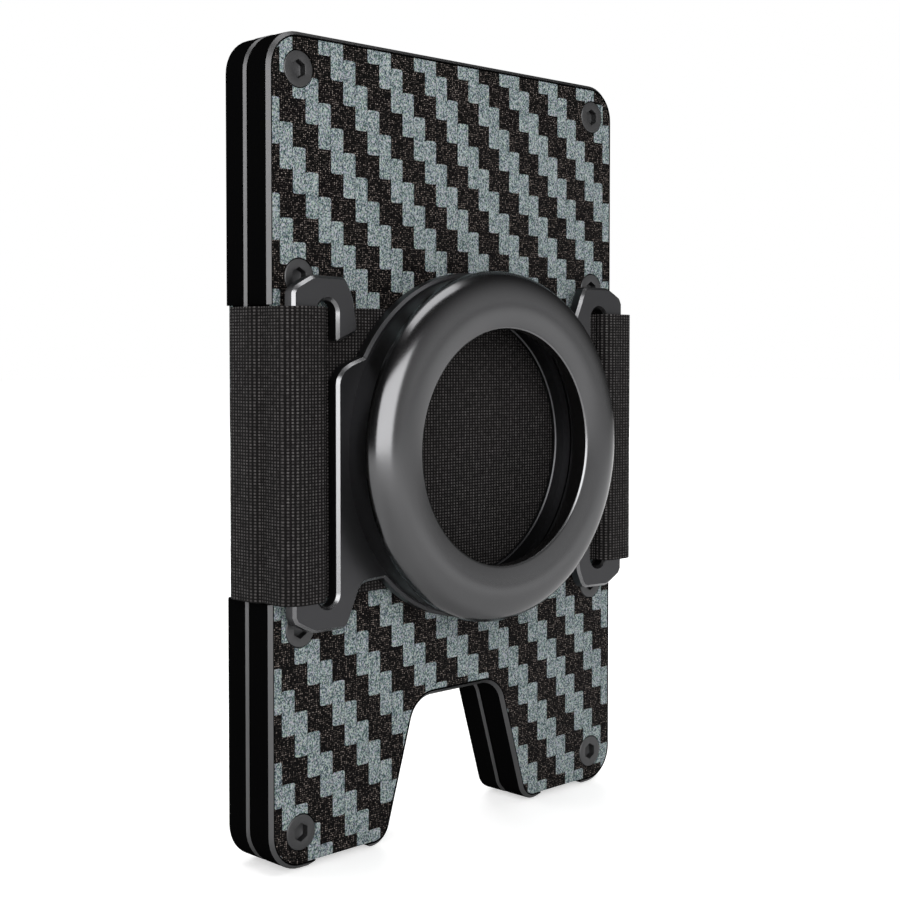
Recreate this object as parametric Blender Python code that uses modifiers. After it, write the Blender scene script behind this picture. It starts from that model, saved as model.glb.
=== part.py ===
"""Minimalist card wallet: two screwed metal panels held together by an elastic band.

The wallet stands on its two legs. +X is its width, +Z is up, the money clip is on the
-Y face and the tag ring on the +Y face. The origin is the middle of the bottom of its box.
All the sizes below are millimetres, measured from the mid-plane between the two panels
(depth) and from the middle of the plates (height). Depths grow outwards from the mid-plane.
"""

import math

import bmesh
import bpy
from mathutils import Matrix, Vector

MM = 0.001

# Plates
PLATE_WIDTH = 54.0
PLATE_HEIGHT = 86.0
PLATE_CORNER = 4.0
PANEL_GAP = 0.3
INNER_THICKNESS = 1.75
LAYER_GAP = 0.2
OUTER_THICKNESS = 1.6
OUTER_CHAMFER = 0.2
INNER_CHAMFER = 0.15

# Carbon sheet, lying in a pocket of the outer plate
RIM_WIDTH = 0.5
SHEET_THICKNESS = 0.6
SHEET_SIDE_GAP = 0.15
SHEET_BED_GAP = 0.2

# Thumb notch between the two legs
NOTCH_DEPTH = 15.15
NOTCH_TOP_HALF = 6.43
NOTCH_FOOT_HALF = 11.01
NOTCH_TOP_RADIUS = 3.0
NOTCH_FOOT_RADIUS = 2.4

# Feet of the inner plates, and the windows for them in the outer plates
FOOT_LIFT = 0.6
FOOT_FROM = NOTCH_FOOT_HALF + 2.69
FOOT_TO = PLATE_WIDTH / 2 - 5.6
FOOT_RADIUS = 0.4
FOOT_EASE = 0.12
WINDOW_GAP = 0.45
WINDOW_SLOPE = 0.95

# Elastic band
BAND_HEIGHT = 30.0
BAND_THICKNESS = 0.7
BAND_GAP = 0.2
BAND_JOIN_GAP = 0.3
BAND_RECESS = 0.6
BAND_RECESS_GAP = 0.2
BAND_BULGE = 0.3 + BAND_THICKNESS / 2

# Screws, near the plate's corners and just above and below the band
SCREW_X = PLATE_WIDTH / 2 - 3.95
SCREW_HIGH = PLATE_HEIGHT / 2 - 3.8
SCREW_LOW = BAND_HEIGHT / 2 + 3.1
SCREW_ROWS = (SCREW_HIGH, SCREW_LOW, -SCREW_LOW, -SCREW_HIGH)
HEAD_RADIUS = 1.88
HEAD_THICKNESS = 1.0
HEAD_CHAMFER = 0.15
SHANK_RADIUS = 1.0
SHANK_END_GAP = 0.2
SOCKET_FLATS = 1.6
SOCKET_DEPTH = 0.7
SCREW_GAP = 0.2

# Money clip
CLIP_HALF_WIDTH = PLATE_WIDTH / 2 - 5.3
CLIP_THICKNESS = 0.5
CLIP_GAP = 0.2
CLIP_RISE = 0.45
CLIP_TAB_HALF = CLIP_HALF_WIDTH - 0.7
CLIP_TAB_LENGTH = 19.5
CLIP_TAB_BEND = 1.0
CLIP_FRONT_BEND = 1.5
CLIP_STAND_OFF = 2.8
CLIP_CREASE_Z = PLATE_HEIGHT / 2 - 47.1
CLIP_TIP_Z = CLIP_CREASE_Z - 8.9
CLIP_TIP_RISE = 3.05
CLIP_TIP_RADIUS = 3.0
CLIP_SPLIT_GAP = 0.3
# The leaf's narrowing: depth below the plate's top, and how far each side has come in
CLIP_WAIST = (
    (0.4, 0.0),
    (1.4, 0.8),
    (3.8, 3.0),
    (6.5, 5.1),
    (10.2, 6.9),
    (14.0, 8.2),
    (17.8, 9.3),
    (22.0, 10.2),
    (28.4, 11.2),
    (34.7, 11.7),
    (42.6, 12.0),
    (47.1, 12.2),
    (52.5, 12.0),
)

# Tag holder on the back, heights above the back face
BEZEL_GAP = 0.2
SKIRT_THICKNESS = 1.0
SEAT_RADIUS = 16.15
SEAT_HOLE_RADIUS = SEAT_RADIUS - 1.45
SEAT_THICKNESS = 0.5
WALL_INNER = SEAT_RADIUS + 0.05 + SKIRT_THICKNESS + BEZEL_GAP
WALL_OUTER = WALL_INNER + 1.3
FLANGE_RADIUS = WALL_OUTER + 0.5
FLANGE_CHAMFER = 0.3
HOLDER_BASE = BAND_GAP + BAND_THICKNESS + 0.2
HOLDER_THICKNESS = 1.5
WALL_TOP = HOLDER_BASE + 4.45
ARM_OUTER = PLATE_WIDTH / 2 - 1.05
SLOT_OUTER = ARM_OUTER - 3.2
SLOT_INNER = SLOT_OUTER - 2.6
SLOT_HALF_HEIGHT = BAND_HEIGHT / 2 + 0.7
EAR_HALF_HEIGHT = SLOT_HALF_HEIGHT + 2.5
# Where the ears leave the flange, as shares of its radius
NECK_START = 0.625
NECK_LOW = 0.703
NECK_HIGH = 0.531

# Screw-on bezel
BEZEL_HOLE = SEAT_RADIUS - 3.15
BEZEL_OUTER = FLANGE_RADIUS + 0.1
BEZEL_CREST = WALL_TOP + 2.75
BEZEL_CREST_RADIUS = SEAT_RADIUS - 0.15
BEZEL_HOLE_TOP = BEZEL_CREST - 0.5
BEZEL_HOLE_BOTTOM = BEZEL_CREST - 1.7
BEZEL_UNDERSIDE = BEZEL_CREST - 1.9

ROUND_STEPS = 48
HOLE_STEPS = 16
ARC_STEPS = 5

HALF_WIDTH = PLATE_WIDTH / 2
HALF_HEIGHT = PLATE_HEIGHT / 2
INNER_FROM = PANEL_GAP / 2
INNER_TO = INNER_FROM + INNER_THICKNESS
OUTER_FROM = INNER_TO + LAYER_GAP
FACE = OUTER_FROM + OUTER_THICKNESS
BED = FACE - SHEET_THICKNESS - SHEET_BED_GAP
RECESS_HALF = BAND_HEIGHT / 2 + BAND_RECESS_GAP
OVERSHOOT = 3.0

# Screwed against the mid-plane, the band run lies midway in its channel
BAND_RUN_MID = OUTER_FROM - BAND_GAP - 0.05 - BAND_THICKNESS / 2
CHANNEL_FLOOR = BAND_RUN_MID - BAND_THICKNESS / 2 - BAND_GAP - 0.05
BAND_SIDE_MID = HALF_WIDTH + BAND_BULGE
BAND_BACK_MID = FACE + BAND_GAP + BAND_THICKNESS / 2

# The clip's tab lies in a pocket of the front inner plate
TAB_MID = INNER_TO - 0.2 - CLIP_THICKNESS / 2
POCKET_FLOOR = TAB_MID - CLIP_THICKNESS / 2 - CLIP_GAP
CLIP_TOP_MID = HALF_HEIGHT + CLIP_RISE
LEAF_ROOT_DEPTH = FACE + CLIP_STAND_OFF
HINGE_DEPTH = LEAF_ROOT_DEPTH - CLIP_FRONT_BEND
HINGE_Z = CLIP_TOP_MID - CLIP_FRONT_BEND
CREASE_DEPTH = FACE + CLIP_GAP + CLIP_THICKNESS / 2
TIP_DEPTH = CREASE_DEPTH + CLIP_TIP_RISE

# The box runs from the clip's tip to the bezel's crest, and the origin is its middle
TIP_SLOPE = math.atan2(CLIP_TIP_RISE, CLIP_CREASE_Z - CLIP_TIP_Z)
FRONT_MOST = TIP_DEPTH + CLIP_THICKNESS / 2 * math.cos(TIP_SLOPE)
BACK_MOST = FACE + BEZEL_CREST
SHIFT_Y = (FRONT_MOST - BACK_MOST) / 2

TO_WORLD = Matrix.Scale(MM, 4) @ Matrix.Translation((0.0, SHIFT_Y, HALF_HEIGHT))

# Where an outline's own x and y go: across and up (drawn on XZ), along and up (YZ), flat (XY)
ON_XZ = Matrix(((1, 0, 0, 0), (0, 0, -1, 0), (0, 1, 0, 0), (0, 0, 0, 1)))
ON_YZ = Matrix(((0, 0, 1, 0), (1, 0, 0, 0), (0, 1, 0, 0), (0, 0, 0, 1)))
ON_XY = Matrix.Identity(4)
# Where a turned piece's own axis goes: out of the front face, or out of the back face
FACING_FRONT = ON_XZ
FACING_BACK = Matrix(((1, 0, 0, 0), (0, 0, 1, 0), (0, -1, 0, 0), (0, 0, 0, 1)))

PARTS = bpy.data.collections.new("minimalist_wallet")
CUTTERS = bpy.data.collections.new("cutters")


def clear_scene():
    """Empties the scene and links the two collections."""
    for obj in list(bpy.data.objects):
        bpy.data.objects.remove(obj, do_unlink=True)
    bpy.context.scene.collection.children.link(PARTS)
    bpy.context.scene.collection.children.link(CUTTERS)


def material(name, colour, metallic, roughness):
    """A Principled material of one colour."""
    made = bpy.data.materials.new(name)
    made.use_nodes = True
    shader = made.node_tree.nodes["Principled BSDF"]
    shader.inputs["Base Color"].default_value = (*colour, 1.0)
    shader.inputs["Metallic"].default_value = metallic
    shader.inputs["Roughness"].default_value = roughness
    return made


def add_mesh(name, mesh, collection=PARTS):
    """Welds the mesh, turns its faces out and links it as an object."""
    welder = bmesh.new()
    welder.from_mesh(mesh)
    bmesh.ops.remove_doubles(welder, verts=welder.verts, dist=1e-7)
    bmesh.ops.recalc_face_normals(welder, faces=welder.faces)
    welder.to_mesh(mesh)
    welder.free()
    mesh.name = name
    obj = bpy.data.objects.new(name, mesh)
    collection.objects.link(obj)
    if collection is CUTTERS:
        obj.hide_render = True
        obj.display_type = "WIRE"
    return obj


def mesh_of(obj, matrix):
    """The evaluated mesh of a helper object, moved by a matrix; the helper is removed."""
    bpy.context.scene.collection.objects.link(obj)
    graph = bpy.context.evaluated_depsgraph_get()
    mesh = bpy.data.meshes.new_from_object(obj.evaluated_get(graph))
    mesh.transform(TO_WORLD @ matrix)
    bpy.data.objects.remove(obj, do_unlink=True)
    return mesh


def prism(name, outline, low, high, frame=ON_XZ, collection=PARTS):
    """A flat outline extruded from low to high along its frame's third axis."""
    curve = bpy.data.curves.new(name, "CURVE")
    curve.dimensions = "2D"
    curve.fill_mode = "BOTH"
    curve.extrude = (high - low) / 2
    spline = curve.splines.new("POLY")
    spline.points.add(len(outline) - 1)
    for point, (across, up) in zip(spline.points, outline):
        point.co = (across, up, 0.0, 1.0)
    spline.use_cyclic_u = True
    helper = bpy.data.objects.new(name, curve)
    middle = Matrix.Translation((0.0, 0.0, (low + high) / 2))
    return add_mesh(name, mesh_of(helper, frame @ middle), collection)


def front_prism(name, outline, inner, outer, collection=PARTS):
    """An outline on the front panel, from one depth to another."""
    return prism(name, outline, inner, outer, ON_XZ, collection)


def back_prism(name, outline, inner, outer, collection=PARTS):
    """An outline on the back panel, from one depth to another."""
    return prism(name, outline, -outer, -inner, ON_XZ, collection)


def turned(name, profile, frame, closed=False, steps=ROUND_STEPS, collection=PARTS):
    """A profile of (radius, height) points, top to bottom, turned once about its axis."""
    shape = bmesh.new()
    verts = [shape.verts.new((radius, 0.0, height)) for radius, height in profile]
    pairs = list(zip(verts, verts[1:]))
    if closed:
        pairs.append((verts[-1], verts[0]))
    for pair in pairs:
        shape.edges.new(pair)
    mesh = bpy.data.meshes.new(name)
    shape.to_mesh(mesh)
    shape.free()
    helper = bpy.data.objects.new(name, mesh)
    screw = helper.modifiers.new("turn", "SCREW")
    screw.steps = steps
    screw.render_steps = steps
    screw.use_merge_vertices = True
    screw.merge_threshold = 1e-6
    return add_mesh(name, mesh_of(helper, frame), collection)


FACES = {
    "front": (front_prism, FACING_FRONT),
    "back": (back_prism, FACING_BACK),
}


def box_outline(left, bottom, right, top):
    """The four corners of an upright rectangle."""
    return [(left, bottom), (right, bottom), (right, top), (left, top)]


def rounded(corners, steps=ARC_STEPS):
    """Outline points of a polygon whose corners (x, y, radius) are rounded."""
    points = []
    for index, (x, y, radius) in enumerate(corners):
        corner = Vector((x, y))
        if radius <= 0:
            points.append((x, y))
            continue
        before = Vector(corners[index - 1][:2]) - corner
        after = Vector(corners[(index + 1) % len(corners)][:2]) - corner
        before.normalize()
        after.normalize()
        half = math.acos(max(-1.0, min(1.0, before.dot(after)))) / 2
        start = corner + before * (radius / math.tan(half))
        centre = corner + (before + after).normalized() * (radius / math.sin(half))
        first = start - centre
        turn = math.pi - 2 * half
        if before.cross(after) > 0:
            turn = -turn
        for step in range(steps + 1):
            angle = turn * step / steps
            spoke = Matrix.Rotation(angle, 2) @ first
            points.append(tuple(centre + spoke))
    return points


def inset(corners, distance):
    """The same polygon, drawn counterclockwise, with every side moved inwards."""
    moved = []
    for index, (x, y, radius) in enumerate(corners):
        corner = Vector((x, y))
        before = (corner - Vector(corners[index - 1][:2])).normalized()
        after = (Vector(corners[(index + 1) % len(corners)][:2]) - corner).normalized()
        bend = before.cross(after)
        inward = Vector((-before.y, before.x)) + Vector((-after.y, after.x))
        corner += inward * (distance / (1 + before.dot(after)))
        turned_radius = radius - distance if bend > 0 else radius + distance
        moved.append((corner.x, corner.y, max(0.0, turned_radius)))
    return moved


def mirrored(right_half):
    """A right half of corners, bottom to top, completed with its mirror image."""
    return right_half + [(-x, y, radius) for x, y, radius in reversed(right_half)]


def plate_corners(bottom=-HALF_HEIGHT):
    """Corners of a plate with the thumb notch, counterclockwise from the notch."""
    notch_top = NOTCH_DEPTH - HALF_HEIGHT
    share = (notch_top - bottom) / NOTCH_DEPTH
    foot_half = NOTCH_TOP_HALF + (NOTCH_FOOT_HALF - NOTCH_TOP_HALF) * share
    right = [
        (NOTCH_TOP_HALF, notch_top, NOTCH_TOP_RADIUS),
        (foot_half, bottom, NOTCH_FOOT_RADIUS),
        (HALF_WIDTH, bottom, PLATE_CORNER),
        (HALF_WIDTH, HALF_HEIGHT, PLATE_CORNER),
    ]
    return mirrored(right)


def smooth(points, steps=6):
    """A Catmull-Rom curve through the points."""
    ends = [Vector(point) for point in points]
    ends = [2 * ends[0] - ends[1], *ends, 2 * ends[-1] - ends[-2]]
    curve = []
    for a, b, c, d in zip(ends, ends[1:], ends[2:], ends[3:]):
        for step in range(steps):
            t = step / steps
            curve.append(
                0.5 * (2 * b + (c - a) * t + (2 * a - 5 * b + 4 * c - d) * t * t
                       + (3 * b - a - 3 * c + d) * t ** 3)
            )
    curve.append(ends[-2])
    return [tuple(point) for point in curve]


def arc(centre, radius, start, end, steps=8):
    """Points of an arc, its angles in degrees."""
    points = []
    for step in range(steps + 1):
        angle = math.radians(start + (end - start) * step / steps)
        points.append((centre[0] + radius * math.cos(angle),
                       centre[1] + radius * math.sin(angle)))
    return points


def ribbon(path, thickness):
    """The closed outline of a strip of one thickness along a path."""
    spots = [Vector(point) for point in path]
    left = []
    right = []
    for index, spot in enumerate(spots):
        along = spots[min(index + 1, len(spots) - 1)] - spots[max(index - 1, 0)]
        side = Vector((-along.y, along.x)).normalized() * (thickness / 2)
        left.append(tuple(spot + side))
        right.append(tuple(spot - side))
    return left + right[::-1]


def boolean(obj, other, operation="DIFFERENCE", solver="MANIFOLD"):
    """Cuts, joins or intersects one object with another.

    The exact solver leaves open edges where a pocket follows a chamfered round corner,
    so the manifold solver is used wherever both shapes are closed.
    """
    modifier = obj.modifiers.new(operation.lower(), "BOOLEAN")
    modifier.operation = operation
    modifier.solver = solver
    modifier.object = other


def chamfer(obj, width):
    """Breaks the edges around a plate's faces."""
    modifier = obj.modifiers.new("chamfer", "BEVEL")
    modifier.width = width * MM
    modifier.segments = 1
    modifier.limit_method = "ANGLE"
    modifier.angle_limit = math.radians(60)


def finish(obj, made, origin=None, soft=True):
    """Gives a piece its material and shading, and puts its origin on its own axis."""
    obj.data.materials.clear()
    obj.data.materials.append(made)
    if origin is not None:
        spot = TO_WORLD @ Vector(origin)
        obj.data.transform(Matrix.Translation(-spot))
        obj.location = spot
    if soft:
        obj.data.shade_smooth()
        obj.data.set_sharp_from_angle(angle=math.radians(30))
    return obj


def screw_spots():
    """The (x, z) of the eight screws of one face."""
    return [(side * SCREW_X, row) for side in (-1, 1) for row in SCREW_ROWS]


def hole_cutters(name, profile, frame):
    """One cutter with the same turned hole at every screw."""
    first = None
    for index, (x, z) in enumerate(screw_spots()):
        spot = Matrix.Translation((x, 0.0, z)) @ frame
        drilled = turned(f"{name}_{index}", profile, spot, steps=HOLE_STEPS,
                         collection=CUTTERS)
        if first is None:
            first = drilled
            continue
        joined = bmesh.new()
        joined.from_mesh(first.data)
        joined.from_mesh(drilled.data)
        joined.to_mesh(first.data)
        joined.free()
        bpy.data.objects.remove(drilled, do_unlink=True)
    return first


def straight_hole(radius, inner, outer):
    """Profile of a plain hole between two depths."""
    return [(0.0, outer), (radius, outer), (radius, inner), (0.0, inner)]


def add_feet(plate, face, make):
    """Joins the two feet to an inner plate, which reach the ground under the windows."""
    bottom = -HALF_HEIGHT
    root = bottom + FOOT_LIFT + 1.5
    for side, label in ((-1, "left"), (1, "right")):
        left, right = sorted((side * FOOT_FROM, side * FOOT_TO))
        outline = rounded([(left, bottom, FOOT_RADIUS), (right, bottom, FOOT_RADIUS),
                           (right, root, 0.0), (left, root, 0.0)])
        foot = make(f"{face}_foot_{label}", outline, INNER_FROM + FOOT_EASE,
                    INNER_TO - FOOT_EASE, CUTTERS)
        boolean(plate, foot, "UNION")


def cut_windows(plate, name, make):
    """Cuts the window around each foot in the bottom edge of an outer plate."""
    bottom = -HALF_HEIGHT
    low = bottom - OVERSHOOT
    slope = WINDOW_SLOPE * OVERSHOOT / FOOT_LIFT
    for side, label in ((-1, "left"), (1, "right")):
        outline = [
            (side * (FOOT_FROM - WINDOW_GAP - slope), low),
            (side * (FOOT_TO + WINDOW_GAP + slope), low),
            (side * (FOOT_TO + WINDOW_GAP - WINDOW_SLOPE), bottom + FOOT_LIFT),
            (side * (FOOT_FROM - WINDOW_GAP + WINDOW_SLOPE), bottom + FOOT_LIFT),
        ]
        cutter = make(f"{name}_{label}", outline, OUTER_FROM - 0.1, FACE + 1.0, CUTTERS)
        boolean(plate, cutter)


def cut_side_recess(plate, name, inner, outer, make):
    """Cuts the shallow recess that the band passes in each side of a plate."""
    for side, label in ((-1, "left"), (1, "right")):
        near = side * (HALF_WIDTH - BAND_RECESS)
        far = side * (HALF_WIDTH + OVERSHOOT)
        outline = box_outline(min(near, far), -RECESS_HALF, max(near, far), RECESS_HALF)
        boolean(plate, make(f"{name}_{label}", outline, inner - 0.1, outer + 0.1, CUTTERS))


def build_inner_plate(face, black):
    """The plate of a panel that the cards lie against."""
    make, frame = FACES[face]
    outline = rounded(plate_corners(-HALF_HEIGHT + FOOT_LIFT))
    plate = make(f"{face}_inner_plate", outline, INNER_FROM, INNER_TO)
    chamfer(plate, INNER_CHAMFER)
    hole = straight_hole(SHANK_RADIUS + SCREW_GAP / 2, INNER_FROM - 1.0, INNER_TO + 1.0)
    boolean(plate, hole_cutters(f"{face}_inner_drill", hole, frame))
    add_feet(plate, face, make)
    return finish(plate, black)


def build_outer_plate(face, black):
    """The plate of a panel that holds the carbon sheet in a rimmed pocket."""
    make, frame = FACES[face]
    plate = make(f"{face}_outer_plate", rounded(plate_corners()), OUTER_FROM, FACE)
    chamfer(plate, OUTER_CHAMFER)
    sunk = FACE - HEAD_THICKNESS - SCREW_GAP
    wide = HEAD_RADIUS + SCREW_GAP
    narrow = SHANK_RADIUS + SCREW_GAP / 2
    stepped = [(0.0, FACE + 1.5), (wide, FACE + 1.5), (wide, sunk), (narrow, sunk),
               (narrow, OUTER_FROM - 1.0), (0.0, OUTER_FROM - 1.0)]
    boolean(plate, hole_cutters(f"{face}_outer_drill", stepped, frame))
    pocket = rounded(inset(plate_corners(), RIM_WIDTH))
    boolean(plate, make(f"{face}_pocket", pocket, BED, FACE + 1.0, CUTTERS))
    cut_windows(plate, f"{face}_window", make)
    return finish(plate, black)


def build_sheet(face, carbon):
    """The carbon sheet of a face, flush with the rim around it."""
    make, frame = FACES[face]
    corners = inset(plate_corners(), RIM_WIDTH + SHEET_SIDE_GAP)
    sheet = make(f"{face}_carbon_sheet", rounded(corners), FACE - SHEET_THICKNESS, FACE)
    hole = straight_hole(HEAD_RADIUS + SCREW_GAP, FACE - SHEET_THICKNESS - 1.0, FACE + 1.0)
    boolean(sheet, hole_cutters(f"{face}_sheet_holes", hole, frame))
    return finish(sheet, carbon)


def build_screws(face, steel):
    """The eight hexagon-socket screws of one face."""
    frame = FACES[face][1]
    end = INNER_FROM + SHANK_END_GAP
    profile = [
        (0.0, FACE),
        (HEAD_RADIUS - HEAD_CHAMFER, FACE),
        (HEAD_RADIUS, FACE - HEAD_CHAMFER),
        (HEAD_RADIUS, FACE - HEAD_THICKNESS),
        (SHANK_RADIUS, FACE - HEAD_THICKNESS),
        (SHANK_RADIUS, end),
        (0.0, end),
    ]
    corner = SOCKET_FLATS / math.sqrt(3)
    socket = [(corner * math.sin(turn), corner * math.cos(turn))
              for turn in (math.tau * k / 6 for k in range(6))]
    for index, (x, z) in enumerate(screw_spots()):
        spot = Matrix.Translation((x, 0.0, z)) @ frame
        number = index + 1
        screw = turned(f"{face}_screw_{number}", profile, spot, steps=HOLE_STEPS)
        key = prism(f"{face}_socket_{number}", socket, FACE - SOCKET_DEPTH, FACE + 1.0,
                    spot, CUTTERS)
        boolean(screw, key)
        finish(screw, steel)


def build_clip_pocket(plate):
    """The pocket of the front inner plate that takes the clip's tab."""
    top = HALF_HEIGHT + OVERSHOOT
    low = HALF_HEIGHT - CLIP_TAB_LENGTH - CLIP_GAP
    narrow = box_outline(-CLIP_TAB_HALF - CLIP_GAP, low, CLIP_TAB_HALF + CLIP_GAP, top)
    wide = box_outline(-CLIP_HALF_WIDTH - CLIP_GAP, HALF_HEIGHT - FOOT_LIFT,
                       CLIP_HALF_WIDTH + CLIP_GAP, top)
    for name, outline in (("tab_pocket", narrow), ("tab_mouth", wide)):
        cutter = front_prism(name, outline, POCKET_FLOOR, INNER_TO + 1.0, CUTTERS)
        boolean(plate, cutter)


def clip_tab_path():
    """(depth, height) of the sheet from its hidden end up and over to the split."""
    bottom = HALF_HEIGHT - CLIP_TAB_LENGTH
    centre = (TAB_MID + CLIP_TAB_BEND, CLIP_TOP_MID - CLIP_TAB_BEND)
    return [(TAB_MID, bottom), *arc(centre, CLIP_TAB_BEND, 180, 90),
            (FACE + 0.15, CLIP_TOP_MID)]


def clip_leaf_path():
    """(depth, height) of the sheet from the split over the front bend to the tip."""
    bend = arc((HINGE_DEPTH, HINGE_Z), CLIP_FRONT_BEND, 90, 5)
    reach = HINGE_Z - CLIP_CREASE_Z
    fall = LEAF_ROOT_DEPTH - CREASE_DEPTH
    shape = ((0.07, 0.02), (0.33, 0.26), (0.46, 0.345), (0.60, 0.49), (0.80, 0.76),
             (0.97, 0.99), (1.0, 1.0))
    leaf = [bend[-2]]
    leaf += [(LEAF_ROOT_DEPTH - fall * sink, HINGE_Z - reach * down) for down, sink in shape]
    drop = CLIP_CREASE_Z - CLIP_TIP_Z
    lip = [(CREASE_DEPTH + CLIP_TIP_RISE * out, CLIP_CREASE_Z - drop * down)
           for down, out in ((0.06, 0.015), (0.2, 0.15), (1.0, 1.0))]
    start = (FACE + 0.15 + CLIP_SPLIT_GAP, CLIP_TOP_MID)
    return [start, *bend[:-2], *smooth(leaf, 3), *lip]


def clip_outline():
    """The leaf seen from the front."""
    top = HALF_HEIGHT + OVERSHOOT
    edge = smooth([(CLIP_HALF_WIDTH - narrowing, HALF_HEIGHT - below)
                   for below, narrowing in CLIP_WAIST], 3)
    last = CLIP_HALF_WIDTH - CLIP_WAIST[-1][1]
    right = [(CLIP_HALF_WIDTH, top, 0.0), *[(x, z, 0.0) for x, z in edge],
             (last, CLIP_TIP_Z, CLIP_TIP_RADIUS)]
    return rounded(right + [(-x, z, radius) for x, z, radius in reversed(right)])


def build_clip(spring_steel):
    """The money clip: its tab between the front plates, and the leaf that springs."""
    top = HALF_HEIGHT + OVERSHOOT
    mouth = HALF_HEIGHT - FOOT_LIFT + CLIP_GAP
    tab = prism("money_clip_tab", ribbon(as_front(clip_tab_path()), CLIP_THICKNESS),
                -CLIP_HALF_WIDTH, CLIP_HALF_WIDTH, ON_YZ)
    tee = [(CLIP_HALF_WIDTH + 1.0, top), (-CLIP_HALF_WIDTH - 1.0, top),
           (-CLIP_HALF_WIDTH - 1.0, mouth), (-CLIP_TAB_HALF, mouth),
           (-CLIP_TAB_HALF, 0.0), (CLIP_TAB_HALF, 0.0), (CLIP_TAB_HALF, mouth),
           (CLIP_HALF_WIDTH + 1.0, mouth)]
    boolean(tab, front_prism("tab_outline", tee, 0.0, 20.0, CUTTERS), "INTERSECT")
    finish(tab, spring_steel)
    leaf = prism("money_clip_leaf", ribbon(as_front(clip_leaf_path()), CLIP_THICKNESS),
                 -CLIP_HALF_WIDTH - 1.0, CLIP_HALF_WIDTH + 1.0, ON_YZ)
    seen = front_prism("leaf_outline", clip_outline(), 0.0, 20.0, CUTTERS)
    boolean(leaf, seen, "INTERSECT")
    finish(leaf, spring_steel, origin=(0.0, -HINGE_DEPTH, HINGE_Z))


def as_front(path):
    """(depth, height) points of the front panel as (y, z)."""
    return [(-depth, z) for depth, z in path]


def build_ring_plate():
    """Outline of one pair of ears of the holder, on the +X side as (x, z)."""
    slot_mid = (SLOT_OUTER + SLOT_INNER) / 2
    slot_radius = (SLOT_OUTER - SLOT_INNER) / 2
    turn_z = SLOT_HALF_HEIGHT - slot_radius
    ear = EAR_HALF_HEIGHT
    start = NECK_START * FLANGE_RADIUS
    foot = -NECK_LOW * FLANGE_RADIUS
    root = NECK_HIGH * FLANGE_RADIUS
    low = [
        (start, foot), (SLOT_INNER - 5.95, foot - 0.1), (SLOT_INNER - 4.55, foot - 0.2),
        (SLOT_INNER - 3.25, foot - 0.5), (SLOT_INNER - 2.05, -ear + 1.7),
        (SLOT_INNER - 1.35, -ear), (ARM_OUTER - 2.65, -ear), (ARM_OUTER - 0.95, -ear + 0.95),
        (ARM_OUTER, -ear + 1.8),
    ]
    tip = turn_z - 1.5
    hook = [
        (ARM_OUTER, ear - 1.8), (ARM_OUTER - 0.95, ear - 0.95), (ARM_OUTER - 2.55, ear),
        (SLOT_INNER - 1.15, ear - 0.15), (SLOT_INNER - 2.35, ear - 2.2),
        (SLOT_INNER - 2.9, tip), (SLOT_INNER - 2.65, tip - 0.4), (SLOT_INNER, tip - 1.4),
    ]
    slot_top = arc((slot_mid, turn_z), slot_radius, 180, 0)
    slot_bottom = arc((slot_mid, -turn_z), slot_radius, 0, -180)
    shoulder = [(SLOT_INNER, root - 3.2), (SLOT_INNER - 0.2, root - 2.2),
                (SLOT_INNER - 1.75, root - 1.0), (SLOT_INNER - 3.85, root - 0.3),
                (start, root)]
    return low + hook + slot_top + slot_bottom + shoulder


def build_holder(gunmetal):
    """The tag holder: eared plate, round flange, seat and cup wall in one piece."""
    base = HOLDER_BASE
    top = base + HOLDER_THICKNESS
    profile = [
        (FLANGE_RADIUS - FLANGE_CHAMFER, top),
        (FLANGE_RADIUS, top - FLANGE_CHAMFER),
        (FLANGE_RADIUS, base),
        (SEAT_HOLE_RADIUS, base),
        (SEAT_HOLE_RADIUS, base + SEAT_THICKNESS),
        (SEAT_RADIUS, base + SEAT_THICKNESS),
        (SEAT_RADIUS, top),
        (WALL_INNER, top),
        (WALL_INNER, WALL_TOP),
        (WALL_OUTER, WALL_TOP),
        (WALL_OUTER, top),
    ]
    raised = [(radius, FACE + height) for radius, height in profile]
    holder = turned("holder_frame", raised, FACING_BACK, closed=True)
    outline = build_ring_plate()
    for sign, label in ((1, "right"), (-1, "left")):
        flipped = [(sign * x, sign * z) for x, z in outline]
        ears = back_prism(f"holder_ears_{label}", flipped, FACE + base, FACE + top, CUTTERS)
        chamfer(ears, FLANGE_CHAMFER)
        bore = turned(f"holder_bore_{label}",
                      [(0.0, FACE + top + 5.0), (WALL_OUTER - 0.6, FACE + top + 5.0),
                       (WALL_OUTER - 0.6, FACE + base - 1.0), (0.0, FACE + base - 1.0)],
                      FACING_BACK, collection=CUTTERS)
        boolean(ears, bore)
        boolean(holder, ears, "UNION")
    finish(holder, gunmetal, origin=(0.0, FACE + base, 0.0))


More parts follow.
